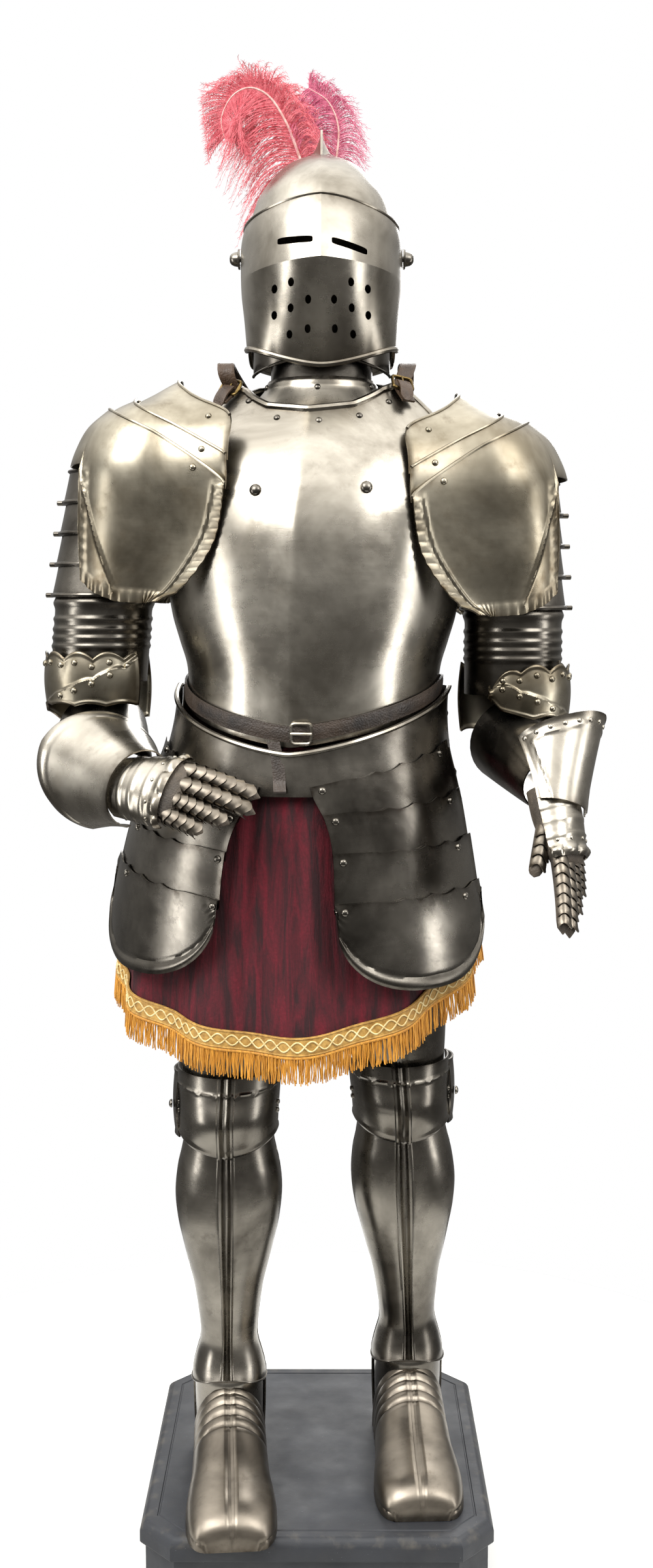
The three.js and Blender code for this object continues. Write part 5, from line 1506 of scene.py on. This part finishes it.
def add_elbow(name, arm):
    out = arm["out"]

    def cusps(u):
        return 0.0095 * np.abs(np.sin(u * 8.5 * math.pi)) ** 0.8

    def rounding(u):
        """The inner end of the left band is rounded like a tongue."""
        if out < 0:
            return np.zeros_like(u)
        near = np.clip(1 - u / 0.16, 0, 1)
        return 0.040 * (1 - np.sqrt(1 - near ** 2))

    def point(u, v):
        angle = lerp(*arm["couter"], u)
        radius = 0.0715 + 0.004 * sin(180 * v) + 0.003 * np.maximum(0, sin(angle * out))
        foot = ELBOW["foot"] + 0.025 * np.clip(cos(angle) + 0.5, 0, 1) + 0.4 * cusps(u + 0.07) + rounding(u)
        top = ELBOW["top"] + cusps(u) - rounding(u)
        return lifted(oval(arm["elbow"], radius, radius, angle, lerp(foot, top, v) + arm["lift"]))

    def seam(angle):
        return ELBOW["seam"] - ELBOW["fall"] * signed(angle) * out

    def laps(b):
        """The elbow's cop laps the upper band along a seam that falls towards the outside."""
        angle = lerp(*arm["couter"], b["u"])
        z = lerp(ELBOW["low"], ELBOW["high"], b["v"])
        under = seam(angle) - z
        rolled = ridge(np.abs(b["any"] - 0.0025), 0.0035, 0.0016)
        return rolled + 0.0026 * np.clip(under / 0.0015, 0, 1) + ridge(np.abs(under), 0.003, 0.0010)

    piece = Piece(f"couter_{name}_piece", GOLDEN)
    grid = piece.wall(point, 260, 100, relief=laps)
    face = normals(grid, False)
    rows, columns = grid.shape[:2]
    angles = lerp(*arm["couter"], np.linspace(0, 1, columns))
    for share in np.linspace(0.05, 0.95, 15):
        j = int(share * (columns - 1))
        high = int(0.80 * (rows - 1))
        piece.dome(grid[high, j], face[high, j], 0.0044, 0.0034)
        below = (seam(angles[j]) - 0.009 - ELBOW["low"]) / (ELBOW["high"] - ELBOW["low"])
        if 0.1 < below < 0.68:
            i = int(below * (rows - 1))
            piece.dome(grid[i, j], face[i, j], 0.0044, 0.0034)
    piece.build(f"couter_{name}")


def add_forearm(name, arm):
    start, end = arm["forearm"]
    bone = Axis(end, start, [0, 0, 1])

    def vambrace(u, v):
        radius = lerp(0.038, 0.062, v ** 0.9)
        return lifted(bone.at(bone.length * v, radius * cos(360 * u), radius * sin(360 * u)))

    piece = Piece(f"vambrace_{name}_piece", DARK)
    piece.wall(vambrace, 72, 30, ring=True)
    piece.build(f"vambrace_{name}")

    flare = Axis(arm["wrist"], arm["rim"], arm["point"])

    def cuff(u, v):
        low = lerp(arm["span"][0][0], arm["span"][1][0], v)
        high = lerp(arm["span"][0][1], arm["span"][1][1], v)
        angle = arm["out"] * lerp(low, high, u)
        pointed = np.maximum(0, 1 - np.abs(angle) / 60)
        flared = v ** 1.25
        wide = arm["radius"] * (1 + 0.06 * pointed)
        along = flare.length * v * (1 + 0.2 * cos(angle) + 0.06 * pointed)
        return lifted(flare.at(along, lerp(0.041, wide, flared) * cos(angle),
                               lerp(0.049, wide, flared) * sin(angle)))

    def border(b):
        near = np.minimum(b["top"], b["side"])
        return ridge(near, 0.005, 0.0020) + ridge(np.abs(near - 0.017), 0.0022, 0.0012)

    piece = Piece(f"gauntlet_cuff_{name}_piece", BRIGHT)
    grid = piece.wall(cuff, 140, 70, relief=border)
    face = normals(grid, False)
    rows, columns = grid.shape[:2]
    for share in np.linspace(0.04, 0.96, 11):
        i, j = int(rows * 0.90), int(share * (columns - 1))
        piece.dome(grid[i, j], face[i, j], 0.0034)
    piece.build(f"gauntlet_cuff_{name}")


def add_hand(name, arm):
    wrist = np.array(arm["wrist"])
    hand = Axis(wrist, wrist + np.array(arm["along"]), arm["back"])
    thumbward = arm["out"]
    glove = Piece(f"glove_{name}_piece", GLOVE_LEATHER)
    steel_hand = Piece(f"gauntlet_hand_{name}_piece", BRIGHT)

    def palm(u, v):
        s = lerp(-0.028, 0.078, v)
        wide, thick = read(PALM, "width", s, "s"), read(PALM, "thick", s, "s")
        closing = np.sqrt(np.clip(1 - np.clip((v - 0.88) / 0.12, 0, 0.999) ** 2, 0, 1))
        return lifted(hand.at(s, thick * closing * cos(360 * u), wide * closing * sin(360 * u)))

    glove.wall(palm, 48, 36, ring=True, thick=0.0016)

    def around(centre, share, angle, radius):
        """Points at a radius from a finger's bent middle line, by their angle from the hand's back."""
        ahead = unit(centre(share + 0.01) - centre(share - 0.01))
        side = unit(np.cross(ahead, hand.front))
        front = np.cross(side, ahead)
        way = cos(angle)[..., None] * front + sin(angle)[..., None] * side
        return lifted(centre(share) + radius[..., None] * way)

    def digit(centre, radii, low, high):
        """A leather finger from low to high, closed at its tip."""
        def sleeve(u, v):
            share = lerp(low, high, v)
            tip = np.sqrt(np.clip(1 - np.clip((v - 0.86) / 0.14, 0, 0.995) ** 2, 0, 1))
            return around(centre, share, 360 * u, lerp(*radii, share) * tip)
        return sleeve

    def plates(centre, radii, bounds, count):
        """Arched lames over the back of a finger, each lapping the next one towards the tip."""
        low, high = bounds
        step = (high - low) / count
        for k in range(count):
            def lame(u, v, k=k):
                angle = lerp(-104, 104, u)
                wave = 0.26 * step * np.cos(np.radians(angle) * 3)
                share = low + step * (k - 0.25 + 1.22 * v) + wave * v
                return around(centre, share, angle, lerp(*radii, share) + 0.0012 + 0.0021 * v)
            steel_hand.wall(lame, 22, 6, thick=0.0009, relief=lambda b: ridge(b["top"], 0.003, 0.0006),
                            material=BROWN)

    for row in FINGERS:
        def centre(share, row=row):
            bend = arm["bend"] * lerp(0.6, 1, share)
            length = row["length"] * share
            return hand_at(hand, row["start"] + length * cos(bend), -length * sin(bend),
                           thumbward * (row["across"] + length * sin(row["spread"])))
        radii = (0.0102, 0.0076)
        glove.wall(digit(centre, radii, -0.12, 1), 20, 26, ring=True, thick=0.0012)
        plates(centre, radii, (0.02, 0.90), 7 if row["length"] > 0.07 else 5)
    thumb_radii = (0.013, 0.0085)
    base = hand_at(hand, 0.012, -0.004, thumbward * 0.020)
    tip = hand_at(hand, 0.082, -0.032, thumbward * 0.046)

    def thumb(share):
        return lerp(base, tip, np.asarray(share)[..., None])

    glove.wall(digit(thumb, thumb_radii, 0, 1), 20, 20, ring=True, thick=0.0012)
    plates(thumb, thumb_radii, (0.22, 0.88), 4)
    glove.build(f"glove_{name}", sharp=60)

    def plate(u, v):
        s = lerp(0.066, -0.022, v)
        angle = lerp(-96, 96, u)
        wide, thick = read(PALM, "width", s, "s") + 0.0045, read(PALM, "thick", s, "s") + 0.0055
        return lifted(hand.at(s, thick * cos(angle), -wide * sin(angle)))

    def knuckles(b):
        rows = ridges(b["v"], (0.30, 0.52, 0.74), 0.03, 0.0013)
        bumps = ridge(np.abs(b["v"] - 0.08), 0.09, 0.0052) * np.abs(np.sin(b["u"] * 5 * math.pi)) ** 0.7
        return rows + bumps + ridge(b["side"], 0.004, 0.001)

    grid = steel_hand.wall(plate, 90, 60, thick=0.0016, relief=knuckles)
    face = normals(grid, False)
    for share in (0.14, 0.32, 0.5, 0.68, 0.86):
        i, j = 14, int(share * 90)
        steel_hand.dome(grid[i, j], face[i, j], 0.0027)
    steel_hand.build(f"gauntlet_hand_{name}", sharp=50)


def hand_at(hand, distance, front, side):
    return hand.at(*np.broadcast_arrays(distance, front, side))


# ---------------------------------------------------------------- legs

def leg_middle(leg, z):
    heights = [0.160, 0.500, 0.880]
    xs = [leg[k][0] for k in ("ankle", "knee", "hip")]
    ys = [leg[k][1] for k in ("ankle", "knee", "hip")]
    return [np.interp(z, heights, xs), np.interp(z, heights, ys)]


def leg_point(leg, rows, angle, z):
    return lifted(oval(leg_middle(leg, z), read(rows, "half", z), depth_at(rows, angle, z), angle, z))


def medial(u, gap, height):
    """Three ridges side by side down the middle of a plate."""
    return sum(ridge(np.abs(u - 0.5 - k * gap), gap * 0.45, height) for k in (-1, 0, 1))


GREAVE = {"top": 0.462, "instep": 0.124, "dip": 0.016, "heel": 0.010}
WING = {"y": 0.018, "z": 0.506, "deep": 0.044, "high": 0.046, "out": 0.079}


def add_leg(name, leg):
    def shin(u, v):
        angle = lerp(-100, 100, u)
        foot = GREAVE["instep"] - GREAVE["dip"] * np.abs(sin(angle)) ** 2
        return leg_point(leg, LEG, angle, lerp(foot, GREAVE["top"], v))

    def calf(u, v):
        angle = lerp(99.5, 260.5, u)
        return leg_point(leg, LEG, angle, lerp(GREAVE["heel"], GREAVE["top"], v))

    piece = Piece(f"greave_{name}_piece", DARK)
    piece.wall(shin, 220, 110, relief=lambda b: medial(b["u"], 0.034, 0.0042))
    piece.wall(calf, 100, 110, relief=lambda b: medial(b["u"], 0.05, 0.0008))
    piece.tube(up_edge(shin, 0), 0.0012)
    piece.tube(up_edge(shin, 1), 0.0012)
    piece.tube(along_edge(shin, 0), 0.0016)
    piece.build(f"greave_{name}")

    def thigh(u, v):
        return leg_point(leg, THIGH, 360 * u - 180, lerp(0.553, 0.828, v))

    piece = Piece(f"cuisse_{name}_piece", DARK)
    piece.wall(thigh, 160, 60, ring=True, relief=lambda b: medial(b["u"], 0.014, 0.0030))
    piece.build(f"cuisse_{name}")

    def cap(u, v):
        angle = lerp(-98, 98, u)
        z = lerp(0.452 + 0.020 * np.abs(sin(angle)) ** 2, 0.562, v)
        return lifted(oval(leg_middle(leg, z), read(KNEE, "half", z), read(KNEE, "front", z), angle, z))

    def lames(b):
        waves = 0.78 + 0.02 * np.abs(np.sin(b["u"] * 9 * math.pi))
        band = ridge(np.abs(b["v"] - waves), 0.022, 0.0018)
        rim = ridge(np.abs(b["v"] - 0.03), 0.05, 0.0016)
        return band + rim + medial(b["u"], 0.034, 0.0042)

    def fan(u, v):
        across, up = 2 * u - 1, 2 * v - 1
        narrow = 1 - 0.35 * up ** 2
        x0, y0 = leg_middle(leg, WING["z"])
        x = x0 + leg["out"] * (WING["out"] - 0.009 * across ** 2 - 0.003 * up ** 2)
        y = y0 + WING["y"] + leg["out"] * WING["deep"] * across * narrow
        return lifted(at(x, y, WING["z"] + WING["high"] * up))

    piece = Piece(f"poleyn_{name}_piece", DARK)
    grid = piece.wall(cap, 200, 80, relief=lames)
    face = normals(grid, False)
    for column in (22, 178):
        for row in (28, 38):
            piece.dome(grid[row, column], face[row, column], 0.0044, 0.0032)
    piece.wall(fan, 40, 30, thick=0.0024, relief=lambda b: ridge(b["any"], 0.005, 0.0014))
    x0, y0 = leg_middle(leg, WING["z"])
    centre = np.array([x0 + leg["out"] * WING["out"], y0 - 0.004, WING["z"] + SOLE])
    piece.dome(centre, [leg["out"], 0, 0], 0.006, 0.004)
    piece.build(f"poleyn_{name}")


def add_sabaton(name, leg):
    foot = Axis([*leg["toe"], 0], [*leg["ankle"], 0], [0, 0, 1])
    ankle_lines = (0.787, 0.846, 0.905, 0.962)

    def point(u, v):
        across = 2 * u - 1
        s = (0.205 + 0.042 * np.abs(across) ** 3) * v ** 1.3
        angle = 90 * across
        height = read(FOOT, "height", s, "s") * np.clip(v * 400, 0, 1)
        up = np.maximum(0.0003, height * np.maximum(0, cos(angle)) ** 0.62)
        return lifted(foot.at(s, up, -read(FOOT, "half", s, "s") * sin(angle)))

    def lames(b):
        bands = ridges(b["v"], ankle_lines, 0.016, 0.0030)
        beads = ridge(np.abs(b["side"] - 0.010), 0.0022, 0.0012)
        standing = bands + beads + medial(b["u"], 0.022, 0.0026) * np.clip(b["v"] * 20, 0, 1)
        return standing * np.clip(b["v"] * 60, 0, 1)

    piece = Piece(f"sabaton_{name}_piece", BROWN)
    grid = piece.wall(point, 140, 120, relief=lames)
    face = normals(grid, False)
    for j in (11, 129):
        for i in range(20, 112, 10):
            piece.dome(grid[i, j], face[i, j], 0.0026, 0.0020)

    def tongue(u, v):
        """The lames that close the ankle under the greave's edge, down to the sole at the sides."""
        angle = lerp(-112, 112, u)
        foot_z = 0.004 + 0.080 * np.clip(1.6 * cos(angle) - 0.3, 0, 1)
        z = lerp(foot_z, 0.158, v)
        half, depth = read(LEG, "half", z) - 0.0045, depth_at(LEG, angle, z) - 0.0045
        return lifted(oval(leg_middle(leg, z), half, depth, angle, z))

    piece.wall(tongue, 80, 40, thick=0.0015, material=DARK)
    piece.build(f"sabaton_{name}")


# ---------------------------------------------------------------- plinth

def add_plinth():
    half_width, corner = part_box("plinth")[1].x, 0.044

    def ring(z, inset):
        half = half_width - inset
        flat = half - corner + 0.4 * inset
        outline = [(half, -flat), (half, flat), (flat, half), (-flat, half),
                   (-half, flat), (-half, -flat), (-flat, -half), (flat, -half)]
        return [[x, y, z] for x, y in outline]

    top = SOLE
    moulding = [(0, 0.007), (top - 0.034, 0.007), (top - 0.032, 0.0055), (top - 0.030, 0.001),
                (top - 0.028, 0), (top - 0.013, 0), (top - 0.009, 0.0010), (top - 0.0042, 0.0042),
                (top - 0.0012, 0.0075), (top - 0.0003, 0.0090), (top, 0.0105), (top, 0.0215),
                (top - 0.0012, 0.0225), (top - 0.0012, 0.0240), (top, 0.0250)]
    rings = [ring(z, inset) for z, inset in moulding]
    edge = [[1.0 if 0.0008 < inset < 0.0106 and z > top - 0.02 else 0.1] * 8 for z, inset in moulding]
    piece = Piece("plinth_piece", WOOD)
    piece.add(rings, closed_loft(len(rings), 8), edge=np.array(edge))
    piece.build("plinth", sharp=25)


# ---------------------------------------------------------------- camera, light and floor

CAMERA = {"x": 0.0168, "y": -2.116, "z": 1.192, "down": 6.476, "turn": 0.12, "lens": 35.87}
LIGHTS = table(["name", "place", "target", "size", "power"], [
    ["key", (-1.7, -1.9, 3.3), (0, 0, 1.4), (2.2, 1.8), 105],
    ["fill", (2.0, -1.7, 3.0), (0, 0, 1.3), (1.6, 1.6), 55],
    ["left_strip", (-2.5, -0.9, 0.9), (0, 0, 0.9), (0.5, 1.8), 22],
    ["right_strip", (2.6, -0.7, 0.9), (0, 0, 0.9), (0.5, 1.8), 20],
    ["back", (0.4, 2.8, 2.6), (0, 0, 1.2), (1.2, 1.6), 45],
])
FLOOR_RADIUS = 0.95


def add_camera():
    lens = bpy.data.cameras.new("camera")
    lens.lens = CAMERA["lens"]
    lens.clip_end = 50
    camera = bpy.data.objects.new("camera", lens)
    camera.location = (CAMERA["x"], CAMERA["y"], SOLE + CAMERA["z"])
    camera.rotation_euler = (math.radians(90 - CAMERA["down"]), 0, math.radians(CAMERA["turn"]))
    bpy.context.scene.collection.objects.link(camera)
    bpy.context.scene.camera = camera


def add_light(name, place, target, size, power):
    light = bpy.data.lights.new(name, "AREA")
    light.shape, light.size, light.size_y = "RECTANGLE", size[0], size[1]
    light.energy = power
    lamp = bpy.data.objects.new(name, light)
    lamp.location = place
    lamp.rotation_euler = (Vector(target) - Vector(place)).to_track_quat("-Z", "Y").to_euler()
    bpy.context.scene.collection.objects.link(lamp)


def add_studio():
    """A pale surround for the camera, and a dim one, bright overhead, that lights the suit."""
    world = bpy.data.worlds.new("studio")
    world.use_nodes = True
    tree = world.node_tree
    tree.nodes.clear()
    pale = tree.nodes.new("ShaderNodeBackground")
    pale.inputs["Color"].default_value = (1, 1, 1, 1)
    room = tree.nodes.new("ShaderNodeBackground")
    room.inputs["Strength"].default_value = 2.8
    ramp = tree.nodes.new("ShaderNodeValToRGB")
    low, high = ramp.color_ramp.elements
    tones = ((0.50, 0.085), (0.62, 0.16), (0.76, 0.46))
    low.position, low.color = 0.30, (0.050, 0.048, 0.046, 1)
    high.position, high.color = 0.92, (1, 0.99, 0.97, 1)
    for place, tone in tones:
        ramp.color_ramp.elements.new(place).color = (tone, tone * 0.98, tone * 0.95, 1)
    place = tree.nodes.new("ShaderNodeTexCoord")
    split = tree.nodes.new("ShaderNodeSeparateXYZ")
    half = tree.nodes.new("ShaderNodeMapRange")
    half.inputs["From Min"].default_value = -1
    seen = tree.nodes.new("ShaderNodeLightPath")
    blend = tree.nodes.new("ShaderNodeMixShader")
    end = tree.nodes.new("ShaderNodeOutputWorld")
    for a, b in (
        (place.outputs["Generated"], split.inputs["Vector"]),
        (split.outputs["Z"], half.inputs["Value"]),
        (half.outputs["Result"], ramp.inputs["Fac"]),
        (ramp.outputs["Color"], room.inputs["Color"]),
        (seen.outputs["Is Camera Ray"], blend.inputs[0]),
        (room.outputs["Background"], blend.inputs[1]),
        (pale.outputs["Background"], blend.inputs[2]),
        (blend.outputs["Shader"], end.inputs["Surface"]),
    ):
        tree.links.new(a, b)
    bpy.context.scene.world = world
    bpy.context.scene.view_settings.view_transform = "Standard"
    for row in LIGHTS:
        add_light(**row)


def add_stage():
    """A pale round floor, just wide enough for the plinth and its shadow."""
    count = 96
    turn = np.arange(count) * TAU / count
    floor_rim = at(FLOOR_RADIUS * np.cos(turn), FLOOR_RADIUS * np.sin(turn), 0)
    mesh = bpy.data.meshes.new("floor")
    mesh.from_pydata(floor_rim.tolist(), [], [list(range(count))])
    floor = bpy.data.objects.new("floor", mesh)
    paint = Finish("floor")
    shade = paint.spread(paint.noise(3), 0, 1)
    mesh.materials.append(paint.done(paint.mix(shade, colour("#cfcfcd"), colour("#cbcbc9")), 0.9))
    bpy.context.scene.collection.objects.link(floor)
    add_studio()


# ---------------------------------------------------------------- the whole

add_camera()
add_cuirass()
add_belt()
add_gorget()
add_fauld()
for name, out in (("r", -1), ("l", 1)):
    add_tasset(name, out)
add_skirt()
add_skull()
add_visor()
for name, out in (("r", -1), ("l", 1)):
    add_pivot(name, out)
    add_shoulder_strap(name, out)
add_plume()
for name, arm in ARMS.items():
    add_pauldron(name, arm)
    add_upper_arm(name, arm)
    add_elbow(name, arm)
    add_forearm(name, arm)
    add_hand(name, arm)
for name, leg in LEGS.items():
    add_leg(name, leg)
    add_sabaton(name, leg)
add_plinth()
add_stage()
